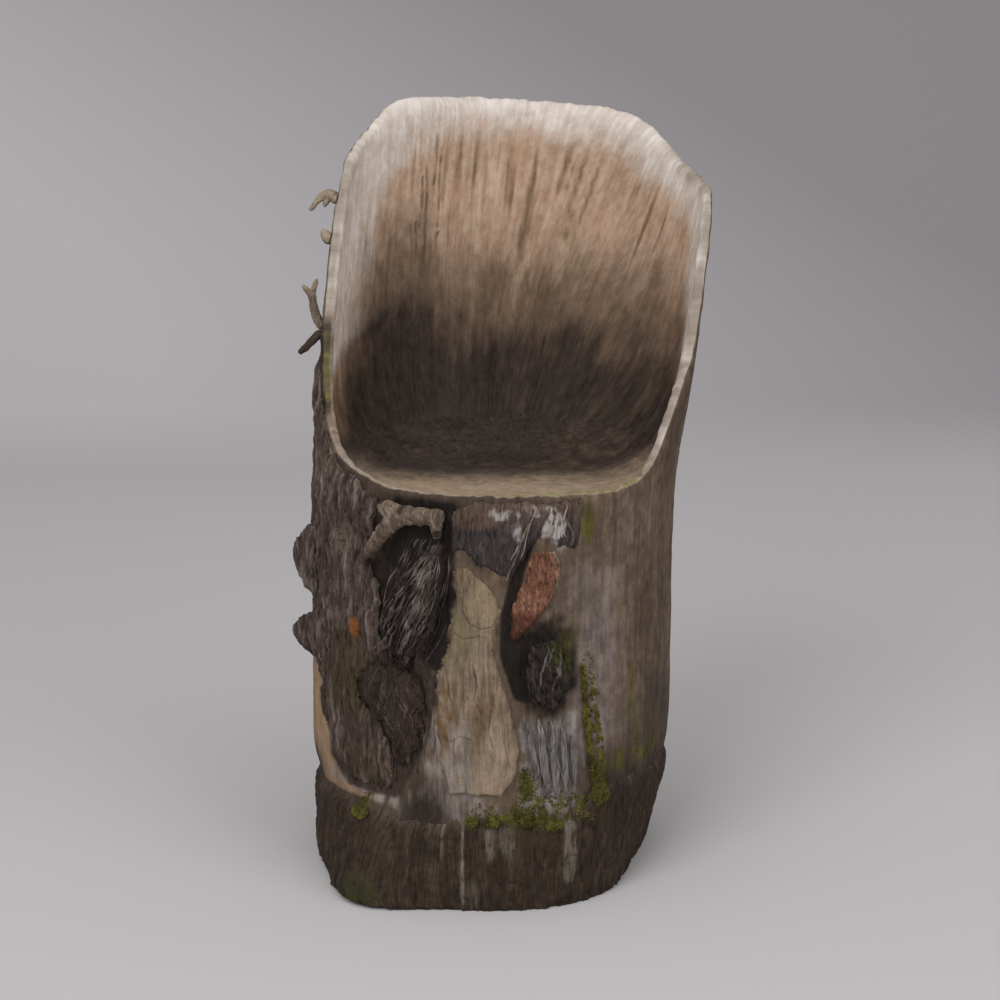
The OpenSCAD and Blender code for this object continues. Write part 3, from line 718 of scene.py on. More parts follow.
def paint_hollow(piece, spot, turned, inside, floor, rim):
    """Marks the tones of the hollow, from its pale margin down to its dark floor."""
    z, angle = spot.z / MM, spot.angle
    streak = noise(turned.stretched(14, 190), 31) + 0.5 * noise(turned.stretched(6, 140), 32)
    cloud = noise(spot.at / (55 * MM), 33) + 0.4 * noise(spot.at / (18 * MM), 34)
    wall = inside * (1 - floor)
    mask(piece, "tan", inside)
    mask(piece, "pink", inside * 0.8 * ease(cloud, -0.5, 0.6))
    # Height at which the wall turns dark with soot and painted shade, higher at the left than at the right
    turns = (0, 30, 70, 95, 120, 138, 150, 163, 175)
    dark_z = np.interp(angle, turns, (605, 625, 632, 634, 655, 690, 668, 612, 545))
    mask(piece, "brown", ease(z + 26 * streak + 22 * cloud, dark_z + 140, dark_z - 10) * inside)
    lit = 1 - 0.2 * band(angle, 5, 55, 14) * ease(z, 620, 560) - 0.03 * floor
    # Soot and painted shade darken the lower hollow, a little less on the lit right wall
    mask(piece, "soot", ease(z + 15 * streak + 26 * cloud, dark_z + 48, dark_z - 86) * inside * lit)
    front = ease(spot.at[:, 1] / MM - 12 * cloud, 48, -100) * floor
    mask(piece, "dust", front)
    # Width in millimetres of the pale margin below the rim, wide at the left
    reach = np.interp(angle, (0, 30, 60, 120, 138, 155, 175), (34, 36, 34, 34, 52, 92, 88))
    low = 0.75 * np.maximum(ease(angle, 40, 10), ease(angle, 320, 345)) * ease(z, 478, 500)
    reach = reach * np.maximum(ease(z, 540, 640), low) + 16
    mask(piece, "pale_band", ease(rim + 11 * cloud + 6 * streak, reach + 24, reach * 0.1) * wall)
    stain = ease(streak, 0.05, 0.6) * ease(rim, 20, 80) * ease(z, dark_z + 10, dark_z + 100)
    mask(piece, "stain", wall * np.maximum(stain * 0.85, 0.4 * cracks(spot, DEEP_CRACKS, 6, 300)))
    lichen = ease(rim, 27, 9) * band(angle, 258, 325, 8) * ease(z, 500, 484)
    lichen = np.maximum(lichen, 0.62 * ease(rim, 12, 3) * band(z, 555, 640, 14) * band(angle, 170, 205, 6))
    mask(piece, "lichen", lichen * inside * (0.65 + 0.6 * noise(spot.at / (11 * MM), 36)))


# Settings


def tone(name, description, value):
    """A colour that the user may change, given as sRGB hex."""
    return bpy.props.FloatVectorProperty(
        name=name, description=description, default=colour(value), size=4, min=0, max=1, subtype="COLOR"
    )


def measure(name, description, value):
    """A size that the user may change, given in millimetres."""
    return bpy.props.FloatProperty(
        name=name, description=description, default=value * MM, min=0, precision=4, unit="LENGTH"
    )


class TrunkSettings(bpy.types.PropertyGroup):
    """Sizes and colours of the bare wood"""

    furrow_depth: measure("Furrow depth", "Depth of the furrows in the bare wood", 1.7)
    crack_depth: measure("Crack depth", "Depth of the drying cracks", 2.2)
    wood_dark: tone("Dark wood", "Darkest tone of the bare wood", "#42372d")
    wood: tone("Wood", "Middle tone of the bare wood", "#615143")
    wood_light: tone("Light wood", "Lightest tone of the bare wood", "#82715f")
    hollow_dark: tone("Dark hollow", "Darker tone of the wood in the hollow", "#9d8068")
    hollow_light: tone("Light hollow", "Lighter tone of the wood in the hollow", "#ceb49d")
    rim_dark: tone("Dark rim", "Darker tone of the worn rim", "#c1b3a6")
    rim_light: tone("Light rim", "Lighter tone of the worn rim", "#e9e1da")


def trunk_material():
    # Heartwood left to the weather: matt, grey-brown outside and tan to sooty brown in the hollow, with
    # upright grain, pale where it is worn and green where it stays wet; painted shade darkens the lower
    # hollow, the outside's edges, foot and lip, and painted shadow fills the recesses
    wood = bpy.context.scene.stump_trunk
    layers = [
        ("shaded", "#3a302a", "#57493f", 20, 0.45),
        ("mauve", "#594c47", "#8d7f79", 12, 0.48),
        ("orange", "#7a614b", "#a58a70", 10, 0.3),
        ("silver", "#5b5552", "#a09a96", 5, 0.35),
        ("lime", "#695f59", "#a0968f", 5, 0.35),
        ("fibrous", "#2a221e", "#55473f", 9, 0.3),
        # Painted black shadow in the recesses around the slab and the burl
        ("decayed", "#16110f", "#2c2420", 9, 0.3),
        ("moss", "#3f3c16", "#66632a", 4, 0.45),
        ("tan", wood.hollow_dark, wood.hollow_light, 20, 0.3),
        ("pink", "#a4836a", "#cbad95", 24, 0.48),
        ("brown", "#604d3d", "#86705c", 22, 0.48),
        ("soot", "#221b18", "#433832", 26, 0.48),
        ("stain", "#6b5440", "#8a7259", 8, 0.48),
        ("dust", "#8b7863", "#b09b84", 14, 0.48),
        ("pale_band", wood.rim_dark, wood.rim_light, 9, 0.48),
        ("worn_rim", "#5f4e41", "#937e6b", 9, 0.48),
        ("pale_rim", "#84776a", "#ada093", 12, 0.48),
        ("damp", "#241c17", "#43372e", 10, 0.45),
        ("lichen", "#6a6338", "#9c9460", 6, 0.48),
    ]
    tones = (wood.wood_dark, wood.wood, wood.wood_light)
    return grown("weathered_heartwood", tones, (6, 80), layers, flecks=0.12, bump=0.6, brushed=0.42)


class STUMP_OT_trunk(bpy.types.Operator):
    """Carves the log with its hollow, its worn rim and its bare wood"""

    bl_idname = "stump.trunk"
    bl_label = "Trunk"

    def execute(self, context):
        piece = finer("log", "trunk", 2)
        split_long_edges(piece, LOG_EDGE)
        soften_rim(piece)
        build_trunk(piece)
        finish_piece(piece, trunk_material(), "bare_wood", "log")
        return {"FINISHED"}


# Bark


# Angle in degrees from which an edge of a sheet is one that breaks
SHARP = 40


def broken_edges(node):
    """Places along the sharp edges of a CAD node."""
    shape = merged(node)
    sharp = [edge for edge in shape.edges if edge.calc_face_angle(0) > math.radians(SHARP)]
    steps = np.linspace(0, 1, 8)
    ends = [[np.array(vertex.co) for vertex in edge.verts] for edge in sharp]
    shape.free()
    return np.concatenate([[p + (q - p) * t for t in steps] for p, q in ends])


def weather(piece, node, grain, carve, ragged, sink=0, tilt=0, seed=0, edge_width=9):
    """Shapes furrows and ridges on the outer face of a sheet of bark and breaks up its edges.

    grain is the width and length of the furrows, carve is how deep they are, ragged is how far the
    edges stray, sink is how far they press into the log, and edge_width is how wide a margin they
    take with them, all in millimetres. tilt turns the furrows, in degrees. Returns where the
    vertices lie, 0 in the furrows to 1 on the ridges, and the distance from the edges.
    """
    at, normal = places(piece)
    spot = Spot(at, normal)
    edge = distance_to(broken_edges(node), at) / MM
    near = ease(edge, edge_width, 0)
    where = spot.slanted(*grain, tilt)
    where[:, 0] += 0.9 * rough(spot.stretched(40, 60), seed + 1, octaves=2)
    where[:, 0] += 0.45 * noise(spot.stretched(12, 22), seed + 2)
    ridge = furrows(where, seed)
    outer = ease(spot.facing, 0.2, 0.7)
    lump = rough(spot.at / (22 * MM), seed + 5, octaves=3)
    depth = outer * (carve * (0.7 - ridge) + 0.3 * carve * lump)
    side = np.stack([-spot.out[:, 1], spot.out[:, 0], np.zeros(len(at))], axis=1)
    stray = rough(spot.at / (15 * MM), seed + 7, octaves=4, gain=0.6)
    climb = rough(spot.at / (13 * MM), seed + 9, octaves=4, gain=0.6)
    depth += near * sink * (1 + 0.6 * stray)
    at = at - spot.out * depth[:, None] * MM
    at += side * (stray * near * ragged)[:, None] * MM
    at[:, 2] += climb * near * ragged * 1.4 * MM
    move(piece, at)
    keep_vector(piece, "grain", spot.grain)
    # Furrows take the groove colour, their own dark colour deepened by painted shade; the sheet's sides and
    # underside, which face away from outside, take it as painted shade
    mask(piece, "groove", outer * ease(ridge, 0.42, 0.04) + (1 - outer) * 0.6)
    return spot, ridge, edge


class BarkSettings(bpy.types.PropertyGroup):
    """Sizes and colours of the furrowed bark"""

    furrow_width: measure("Furrow width", "Width of the furrows in the side bark", 7)
    furrow_length: measure("Furrow length", "Length of the furrows in the side bark", 75)
    furrow_depth: measure("Furrow depth", "Depth of the furrows in the side bark", 6)
    dark: tone("Dark bark", "Darkest tone of the bark", "#2b221e")
    middle: tone("Bark", "Middle tone of the bark", "#4c3f38")
    light: tone("Light bark", "Lightest tone of the bark", "#7d6c63")


# Chips in the foot bark's lower edge: direction in degrees, and how far the edge rises in
# millimetres. Below 0 it goes down, at most to the floor
CHIPS = [
    (0, -2), (60, 1), (110, -3), (160, 1), (190, 4), (204, 4), (208, -1), (214, -2), (217, 4.5), (234, 4),
    (238, 1.5), (249, 0), (262, -2), (278, -2), (281, 1), (284, -2), (310, 0), (345, -2), (360, -2),
]


class STUMP_OT_foot_bark(bpy.types.Operator):
    """Makes the ring of dark bark around the foot, with its chipped lower edge"""

    bl_idname = "stump.foot_bark"
    bl_label = "Foot bark"

    def execute(self, context):
        piece = finer("foot_bark", "foot_bark_ring", 3)
        # Subdivision lifts the ring's lowest vertices off the floor, so they go back down
        at, _ = places(piece)
        at[:, 2] -= at[:, 2].min() * ease(at[:, 2], 14 * MM, 0)
        move(piece, at)
        sink = 1 + 6 * ease(at[:, 2], 60 * MM, 84 * MM)
        spot, _, edge = weather(
            piece, "foot_bark", (5, 70), carve=3.6, ragged=3.5, sink=sink, seed=20, edge_width=20
        )
        # Waves in its upper edge and chips in its lower one
        at, _ = places(piece)
        wave = 5 * noise(spot.stretched(34, 200), 29) + 2.5 * noise(spot.stretched(9, 60), 30)
        at[:, 2] += wave * ease(spot.z / MM, 70, 95) * MM
        lift = np.interp(spot.angle, *zip(*CHIPS)) + 0.8 * np.abs(noise(spot.stretched(9, 50), 27))
        at[:, 2] += lift * ease(at[:, 2], 26 * MM, 0) * MM
        move(piece, at)
        top = ease(edge, 16, 3) * ease(spot.z / MM, 70, 95)
        wet = band(spot.angle, 255, 312, 8) + band(spot.angle, 216, 228, 5)
        mask(piece, "moss", np.clip(0.6 * top * np.clip(wet, 0, 1) + spot.blob(280, 116, 9, 13), 0, 1))
        mask(piece, "grey", 0.55 * ease(edge, 22, 2) * ease(spot.z / MM, 70, 95))
        drips = sum(
            band(spot.angle, angle - half, angle + half, 0.4) * band(spot.z / MM, low, high, 8)
            for angle, half, low, high in (
                (251.6, 0.35, 52, 108), (258.5, 0.6, 8, 108), (267.5, 1.6, 62, 104), (294, 1.8, 30, 104),
            )
        )
        patches = spot.blob(273, 85, 3.2, 24) + 0.8 * spot.blob(294, 70, 3, 36)
        patches += 0.8 * spot.blob(262, 22, 3, 20)
        dusty = band(spot.angle, 238, 268, 8) * ease(edge, 12, 4) * ease(spot.z / MM, 80, 95)
        mask(piece, "lime", np.clip(0.75 * drips + 0.5 * patches + 0.4 * dusty, 0, 0.8))
        mask(piece, "green", ease(spot.z / MM, 60, 10) * band(spot.angle, 220, 235, 6) * 0.8)
        dry = ease(rough(spot.at / (60 * MM), 28), -0.1, 0.6) * band(spot.angle, 200, 300, 10)
        mask(piece, "ochre", 0.75 * dry)
        # Bark that stays damp from the floor: matt, nearly black, brown where it is dry
        layers = [
            ("ochre", "#31261a", "#4d3e2d", 14, 0.48),
            ("grey", "#4a403a", "#6f635b", 9, 0.48),
            ("lime", "#544b41", "#857c70", 4, 0.4),
            ("green", "#2a2b17", "#414324", 6, 0.4),
            ("moss", "#403e15", "#696727", 4, 0.4),
        ]
        material = grown("damp_bark", ("#1f1813", "#372b22", "#5a4b3c"), (1.6, 26), layers, bump=1.0)
        finish_piece(piece, material, "dark_bark", "foot_bark")
        return {"FINISHED"}


def bark_material():
    # Furrowed outer bark: matt and dry, dark in its furrows, their colour deepened by painted shade, and grey
    # on its ridges
    bark = bpy.context.scene.stump_bark
    layers = [
        ("worn", "#5b504a", "#8d817a", 5, 0.35),
        ("rust", "#5e3a22", "#9c5c2c", 4, 0.4),
        ("olive", "#3a3222", "#52472f", 9, 0.48),
    ]
    tones = (bark.dark, bark.middle, bark.light)
    return grown(
        "furrowed_bark", tones, (1.9, 24), layers, groove="#130e0c", groove_share=0.95, flecks=0.3, bump=0.9
    )


class STUMP_OT_side_bark(bpy.types.Operator):
    """Makes the furrowed sheets of bark on the left side, the left arm and the back"""

    bl_idname = "stump.side_bark"
    bl_label = "Side bark"

    def execute(self, context):
        material = bark_material()
        bark = context.scene.stump_bark
        grain = (bark.furrow_width / MM, bark.furrow_length / MM)
        carve = bark.furrow_depth / MM
        # The sheets on the left meet at a seam: they reach 6 mm over it, their edges stay whole there,
        # and their furrows run on because they share a seed
        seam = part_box("flank_bark")[1].z + 2 * MM
        # Node, seed of its furrows, and how far it reaches over the seam in millimetres
        for node, seed, reach in (
            ("flank_bark", 41, 6),
            ("arm_bark", 41, -6),
            ("back_bark_low", 43, 0),
            ("back_bark_high", 44, 0),
        ):
            piece = finer(node, node + "_sheet", 3)
            at, _ = places(piece)
            close = ease(np.abs(at[:, 2] - seam), 26 * MM, 8 * MM) * (reach != 0)
            at[:, 2] += reach * ease(np.abs(at[:, 2] - seam), 14 * MM, 4 * MM) * MM
            move(piece, at)
            rest = 1 - close
            spot, ridge, _ = weather(
                piece, node, grain, carve, 1 + 2.6 * rest, sink=2.6 * rest, seed=seed, edge_width=14
            )
            mask(piece, "rust", spot.blob(218.6, 316, 1.6, 14))
            mask(piece, "olive", 0.7 * spot.blob(216, 262, 9, 50) + 0.4 * ease(spot.z / MM, 230, 130))
            mask(piece, "worn", 0.62 * ease(ridge, 0.55, 0.95))
            finish_piece(piece, material, "grey_bark", node)
        return {"FINISHED"}


class STUMP_OT_loose_bark(bpy.types.Operator):
    """Makes the thick fibrous slab, the tongue below it and the two curling flakes"""

    bl_idname = "stump.loose_bark"
    bl_label = "Loose bark"

    def execute(self, context):
        # Inner bark that has come loose: dark fibres with dry grey strands on top
        layers = [
            ("brown", "#291f18", "#493a2e", 8, 0.48),
            ("worn", "#3c3330", "#5e544f", 4, 0.4),
            ("strand", "#5c534d", "#988e87", 3, 0.4),
        ]
        material = grown("fibrous_bark", ("#1c1614", "#332a26", "#554a45"), (1.3, 22), layers, bump=1.0)
        slab_left = [(287, 232), (330, 229), (357, 232), (397, 240), (420, 247)]
        slab_right = [(287, 239), (318, 247), (357, 251), (397, 252.3), (420, 251.5)]
        tongue_left = [(172, 236), (208, 230), (226, 223), (252, 220), (276, 226)]
        tongue_right = [(172, 239), (186, 242), (226, 244), (258, 244), (276, 240)]
        slab_fibres = lay(slab_left, slab_right, count=60, length=85, slant=0.2, seed=151)
        tongue_fibres = lay(tongue_left, tongue_right, count=34, length=48, slant=-0.2, seed=152)
        # Node, subdivision, grain, depth and tilt of its furrows, seed, fibres and their radius, and
        # how worn, brown and pale its strands are
        for node, levels, grain, carve, tilt, seed, paths, thick, worn, brown, pale in (
            ("bark_slab", 4, (6, 60), 10, 27, 51, slab_fibres, 1.0, 0.7, 0, 1),
            ("bark_tongue", 3, (6, 50), 6, 12, 52, tongue_fibres, 0.7, 0.45, 0.9, 0.6),
        ):
            piece = finer(node, node + "_loose", levels)
            spot, ridge, _ = weather(
                piece, node, grain, carve, ragged=7, sink=2.6, tilt=tilt, seed=seed, edge_width=13
            )
            mask(piece, "worn", worn * ease(ridge, 0.5, 0.9))
            mask(piece, "brown", np.full(len(spot.z), brown))
            spot, added = with_fibres(piece, paths, thick, seed)
            fresh = 0.5 + 0.5 * noise(spot.at / (16 * MM), seed + 60)
            mask(piece, "strand", added * fresh * pale)
            finish_piece(piece, material, "fibrous_bark", node)
        # Strands around the slab that still cling to the log
        left, right = [(262, 226), (330, 225), (432, 236)], [(262, 246), (330, 254), (432, 255)]
        strands = lay(left, right, count=44, length=80, slant=0.2, seed=153)
        left, right = [(150, 236), (236, 240)], [(150, 248), (236, 250)]
        strands += lay(left, right, count=14, length=50, slant=-0.1, seed=154)
        piece = new_piece("loose_strands", bmesh.new())
        join(piece, fibres(bpy.data.objects["trunk"], strands, thick=0.8, seed=55))
        spot = Spot(*places(piece))
        keep_vector(piece, "grain", spot.grain)
        mask(piece, "strand", 0.45 + 0.6 * noise(spot.at / (18 * MM), 56))
        finish_piece(piece, material, "fibrous_bark")
        for node, seed in (("flake_upper", 53), ("flake_lower", 54)):
            piece = finer(node, node + "_curl", 3)
            at, normal = places(piece)
            sink = 4.5 * ease(Spot(at, normal).angle, 190, 198)
            _, ridge, _ = weather(piece, node, (6, 40), carve=3.4, ragged=2.2, sink=sink, seed=seed)
            mask(piece, "worn", 0.62 * ease(ridge, 0.5, 0.9))
            finish_piece(piece, bpy.data.materials["furrowed_bark"], "grey_bark", node)
        return {"FINISHED"}


# Fine roots on the bark under the lip, as directions and heights in millimetres
LIP_ROOTS = [
    [(281.5, 472), (280.2, 451), (278.5, 430), (277, 412)],
    [(279, 440), (276, 426), (274.5, 412)],
    [(286, 474), (286.6, 458), (285.2, 440)],
    [(291, 474), (290, 455), (291.6, 436)],
]
# Cracks in the tan plate, given in the same way
TAN_CRACKS = [
    [(253.9, 375), (258.4, 375)],
    [(259.2, 379), (258.7, 354), (261, 340), (264.3, 334), (268.3, 336), (270.9, 349), (272, 364)],
    [(270.9, 349), (269.6, 330), (270, 312)],
    [(250.6, 299), (253.1, 285), (254, 262), (254.8, 248)],
    [(255, 330), (259, 322), (265, 325)],
    [(250.8, 208), (254.7, 200), (257.5, 208), (261, 205)],
    [(262, 292), (263.5, 270), (262.4, 252), (265, 236)],
    [(268, 240), (267, 215), (268.6, 196)],
    [(272, 205), (273.5, 180), (272.4, 160)],
]


class STUMP_OT_front_plates(bpy.types.Operator):
    """Makes the thin plates on the front: under the lip, tan, red, and the grey splinters"""

    bl_idname = "stump.front_plates"
    bl_label = "Front plates"

    def execute(self, context):
        # Bark worn thin under the lip: purple-grey, with white crusts of lichen
        layers = [("brown", "#4b3c32", "#6e5c4f", 8, 0.48), ("lime", "#8b8480", "#c2bbb6", 4, 0.3)]
        material = grown("worn_bark", ("#262021", "#3e3637", "#5f5556"), (1.4, 18), layers, bump=1.0)
        piece = finer("lip_bark", "lip_bark_plate", 3)
        weather(piece, "lip_bark", (6, 36), carve=3.2, ragged=3, sink=4, seed=61, edge_width=6)
        spot, added = with_fibres(piece, LIP_ROOTS, thick=0.8, seed=61)
        crust = 1.3 * spot.blob(287.5, 446, 3.4, 20) + 0.6 * spot.blob(270, 464, 4, 8)
        crust += 0.5 * spot.blob(276, 446, 1.6, 18) + 0.6 * spot.blob(281, 467, 6, 7)
        crust = crust * (0.8 + 0.9 * rough(spot.at / (11 * MM), 64, octaves=3))
        mask(piece, "lime", 0.6 * added + crust)
        mask(piece, "brown", 0.8 * ease(spot.z / MM, 440, 470) + 0.5 * spot.blob(262, 455, 7, 12))
        finish_piece(piece, material, "lip_bark", "lip_bark")

        # Dry inner bark: chalky tan with ochre stains, cracked into patches
        layers = [
            ("ochre", "#5a4430", "#84694c", 12, 0.48),
            ("lime", "#746b64", "#9e948c", 10, 0.48),
            ("olive", "#62563f", "#857860", 10, 0.48),
            ("round", "#7d6b55", "#9d8a71", 9, 0.45),
            ("sand", "#84715d", "#a8947e", 12, 0.48),
        ]
        material = grown("dry_inner_bark", ("#4f4033", "#7d6b59", "#aa9884"), (3, 24), layers, bump=0.8)
        piece = finer("inner_bark_tan", "tan_plate", 3)
        refine(piece, cracks(Spot(*places(piece)), TAN_CRACKS, 5, 400), 1)
        sink = 6 + 3 * ease(places(piece)[0][:, 2], 190 * MM, 150 * MM)
        spot, _, _ = weather(
            piece, "inner_bark_tan", (22, 50), carve=1.8, ragged=5, sink=sink, seed=62, edge_width=7
        )
        split = cracks(spot, TAN_CRACKS, 1.1, 400) * ease(spot.facing, 0.4, 0.8)
        at, _ = places(piece)
        move(piece, at - spot.out * (1.2 * split)[:, None] * MM)
        # The cracks take the groove colour, partly painted shade
        mask(piece, "groove", split * (0.45 + 0.5 * noise(spot.at / (11 * MM), 68)))
        stain = 1.1 * spot.blob(253.2, 234, 4.2, 38) + 0.5 * spot.blob(266, 235, 5, 40)
        stain += 0.8 * spot.blob(257.5, 402, 2.4, 16)
        mask(piece, "ochre", stain * (0.7 + 0.8 * rough(spot.at / (17 * MM), 71, octaves=3)))
        chalk = 1.2 * spot.blob(257, 150, 6, 44) + 0.7 * spot.blob(258, 215, 4, 20)
        chalk += 0.5 * spot.blob(262, 322, 3, 10)
        mask(piece, "lime", chalk * (0.65 + 0.6 * rough(spot.stretched(9, 22), 69, octaves=3)))
        mask(piece, "olive", 0.8 * spot.blob(257, 320, 7, 44))
        mask(piece, "round", 0.8 * spot.blob(265.5, 362, 6, 24))
        sand = ease(spot.z / MM, 270, 170) * ease(spot.angle, 257, 268)
        mask(piece, "sand", sand * (0.8 + 0.5 * rough(spot.stretched(12, 30), 70, octaves=3)))
        finish_piece(piece, material, "tan_inner_bark", "inner_bark_tan")

        # Fresh inner bark: rust-red, flaky, paler where the flakes have dried
        layers = [("dark", "#4a2c20", "#6b4232", 5, 0.4), ("lime", "#6f6762", "#9d948e", 3, 0.3)]
        tones = ("#42281c", "#7a523f", "#b48a74")
        material = grown("red_inner_bark", tones, (2.4, 10), layers, flecks=0.7, bump=1.3)
        piece = finer("inner_bark_red", "red_plate", 3)
        spot, ridge, edge = weather(
            piece, "inner_bark_red", (5, 18), carve=2.2, ragged=2.6, sink=5, seed=63, edge_width=6
        )
        # Darker red low on the plate, and painted shade in its furrows
        mask(piece, "dark", 0.9 * ease(spot.z / MM, 365, 340) + 0.5 * ease(ridge, 0.4, 0))
        mask(piece, "lime", 0.8 * ease(edge, 7, 2) * ease(spot.angle, 284, 288))
        finish_piece(piece, material, "red_inner_bark", "inner_bark_red")

        # Wood split along its fibres and bleached: silver-grey with white crusts
        layers = [("lime", "#85807c", "#b5afab", 3, 0.4)]
        material = grown("silvered_wood", ("#45403d", "#6d6764", "#959089"), (1.2, 30), layers, bump=0.9)
        piece = finer("splinters", "splinter_group", 3)
        weather(piece, "splinters", (4, 50), carve=1.6, ragged=0.8, tilt=8, seed=64, edge_width=3)
        left, right = [(135, 283), (235, 279)], [(135, 296), (235, 292)]
        paths = lay(left, right, count=34, length=60, slant=-0.1, seed=164)
        spot, added = with_fibres(piece, paths, thick=0.6, seed=65)
        mask(piece, "lime", added * (0.45 + 0.5 * noise(spot.at / (14 * MM), 66)))
        finish_piece(piece, material, "weathered_wood", "splinters")
        return {"FINISHED"}


# Growths


def swollen(node, name, voxel):
    """Copy of a CAD node as one even, rounded skin with faces about voxel mm wide."""
    piece = finer(node, name, 1)
    modify(piece, "REMESH", mode="VOXEL", voxel_size=voxel * MM)
    modify(piece, "SMOOTH", factor=0.5, iterations=6)
    return piece


def gnarl(piece, grain, carve, tilt, seed, lumps=12, swell=0):
    """Gives a stem or burl ridges along its length and lumps, and swells it.

    grain is the width and length of the ridges, carve is how deep the grooves between them are,
    lumps is how wide the lumps are, and swell is how far the surface grows, all in millimetres.
    """
    at, normal = places(piece)
    spot = Spot(at, normal)
    ridge = furrows(spot.slanted(*grain, tilt), seed)
    lump = rough(at / (lumps * MM), seed + 3, octaves=3)
    depth = carve * (1 - ridge) + 0.5 * carve * (1 + lump) - swell
    move(piece, at - normal * depth[:, None] * MM)
    keep_vector(piece, "grain", spot.grain)
    # The grooves take the groove colour, partly painted shade
    mask(piece, "groove", ease(ridge, 0.3, 0.03) * 0.8)
    return spot


class STUMP_OT_burl(bpy.types.Operator):
    """Makes the dark, knobbly burl"""

    bl_idname = "stump.burl"
    bl_label = "Burl"

    def execute(self, context):
        piece = swollen("burl", "burl_knot", 1.0)
        gnarl(piece, (10, 30), carve=7, tilt=-24, seed=71, lumps=20)
        left, right = [(250, 282), (322, 282)], [(250, 290), (322, 290)]
        paths = lay(left, right, count=7, length=52, slant=0.4, seed=171)
        spot, added = with_fibres(piece, paths, thick=1.3, seed=72)
        mask(piece, "moss", spot.blob(291, 318, 6, 30) + 0.5 * spot.blob(293, 262, 3, 24))
        mask(piece, "lime", 0.8 * added * spot.blob(285, 285, 5, 34))
        # Gnarled wood of a burl: nearly black, with white crusts and green moss
        layers = [("moss", "#24240f", "#3f401c", 4, 0.48), ("lime", "#443d38", "#7a726c", 5, 0.48)]
        material = grown("burl_wood", ("#15110f", "#2c2522", "#554a43"), (2, 12), layers, bump=1.2)
        finish_piece(piece, material, "burl_wood", "burl")
        return {"FINISHED"}


def ivy_material():
    # Dead ivy: dry, light grey-brown wood with cracked skin
    layers = [("pale", "#7b6b5a", "#b5a48f", 6, 0.48), ("dark", "#2c211c", "#4a3c33", 5, 0.35)]
    tones = ("#3a2f27", "#6d5d4f", "#a59684")
    return grown(
        "dead_ivy_wood", tones, (1.6, 14), layers, groove="#1c1512", groove_share=0.95, flecks=0.4, bump=1.0
    )


class STUMP_OT_ivy(bpy.types.Operator):
    """Makes the ivy stem under the lip, its thin roots and the shoots on the left edge"""

    bl_idname = "stump.ivy"
    bl_label = "Ivy"

    def execute(self, context):
        material = ivy_material()
        piece = swollen("ivy_stem", "ivy_claw", 1.1)
        spot = gnarl(piece, (8, 60), carve=2.2, tilt=-52, seed=81, swell=3)
        pits = spot.blob(230, 470, 1.6, 4) + spot.blob(251.5, 442, 1.2, 4) + spot.blob(239, 466, 1, 6)
        mask(piece, "dark", pits + 0.6 * ease(spot.z / MM, 450, 400))
        finish_piece(piece, material, "dead_ivy", "ivy_stem")
        shoots = ("rootlets", "shoot_top", "shoot_stub", "shoot_fork", "shoot_peg")
        for seed, node in enumerate(shoots, 82):
            piece = swollen(node, node + "_dry", 0.7)
            swell = 0.4 if node == "rootlets" else 1.9
            gnarl(piece, (4, 24), carve=0.9, tilt=0, seed=seed, lumps=7, swell=swell)
            _, normal = places(piece)
            # The upper shoots have bleached, and the peg is dark
            pale = {"shoot_top": 0.75, "shoot_stub": 0.75, "shoot_fork": 0.45}.get(node, 0)
            mask(piece, "pale", np.full(len(normal), pale))
            # The undersides of the shoots get painted shade
            mask(piece, "dark", 0.95 * (node == "shoot_peg") + 0.5 * ease(normal[:, 2], 0, -0.7))
            finish_piece(piece, material, "dead_ivy", node)
        return {"FINISHED"}


class MossSettings(bpy.types.PropertyGroup):
    """Size, number and colours of the tufts of moss"""

    dark: tone("Dark moss", "Tone of the moss between its tufts", "#28260e")
    middle: tone("Moss", "Middle tone of the moss", "#403d18")
    light: tone("Light moss", "Lightest tone of the moss", "#605c28")
    radius: measure("Tuft radius", "Radius of a tuft of moss", 1)
    inner: bpy.props.IntProperty(
        name="Tufts on cushions", description="Tufts on each group of moss cushions", default=900, min=0
    )
    outer: bpy.props.IntProperty(
        name="Tufts around", description="Tufts on the log and the bark beside them", default=1900, min=0
    )


def tufts(name, centres, sizes, seed):
    """Small round clumps in one piece, all stretched from one shape."""
    shape = bmesh.new()
    bmesh.ops.create_icosphere(shape, subdivisions=1, radius=bpy.context.scene.stump_moss.radius)
    shape.verts.index_update()
    clump = np.array([vertex.co for vertex in shape.verts])
    faces = np.array([[vertex.index for vertex in face.verts] for face in shape.faces])
    stretch = np.random.default_rng(seed).uniform(0.6, 1.3, (len(centres), 1, 3)) * sizes[:, None, None]
    at = (clump * stretch + centres[:, None]).reshape(-1, 3)
    corners = (faces + np.arange(len(centres))[:, None, None] * len(clump)).reshape(-1, 3)
    # All clumps are placed at once, because a bmesh takes longer for each one that is copied into it
    piece = new_piece(name, shape)
    piece.data.clear_geometry()
    piece.data.from_pydata(at.tolist(), [], corners.tolist())
    return piece


# How far tufts stray from the vertices that they are scattered on
TUFT_STRAY = 1.7 * MM


def scatter(piece, weight, count, seed):
    """Random places on the outer face of a piece, more of them where weight is high."""
    at, normal = places(piece)
    spot = Spot(at, normal)
    weight = np.clip(weight(spot), 0, 1) * (spot.facing > 0.25)
    chance = np.random.default_rng(seed)
    picked = chance.choice(len(at), count, p=weight / weight.sum())
    stray = chance.normal(0, TUFT_STRAY, (count, 3))
    stray -= (stray * normal[picked]).sum(1)[:, None] * normal[picked]
    return at[picked] + stray


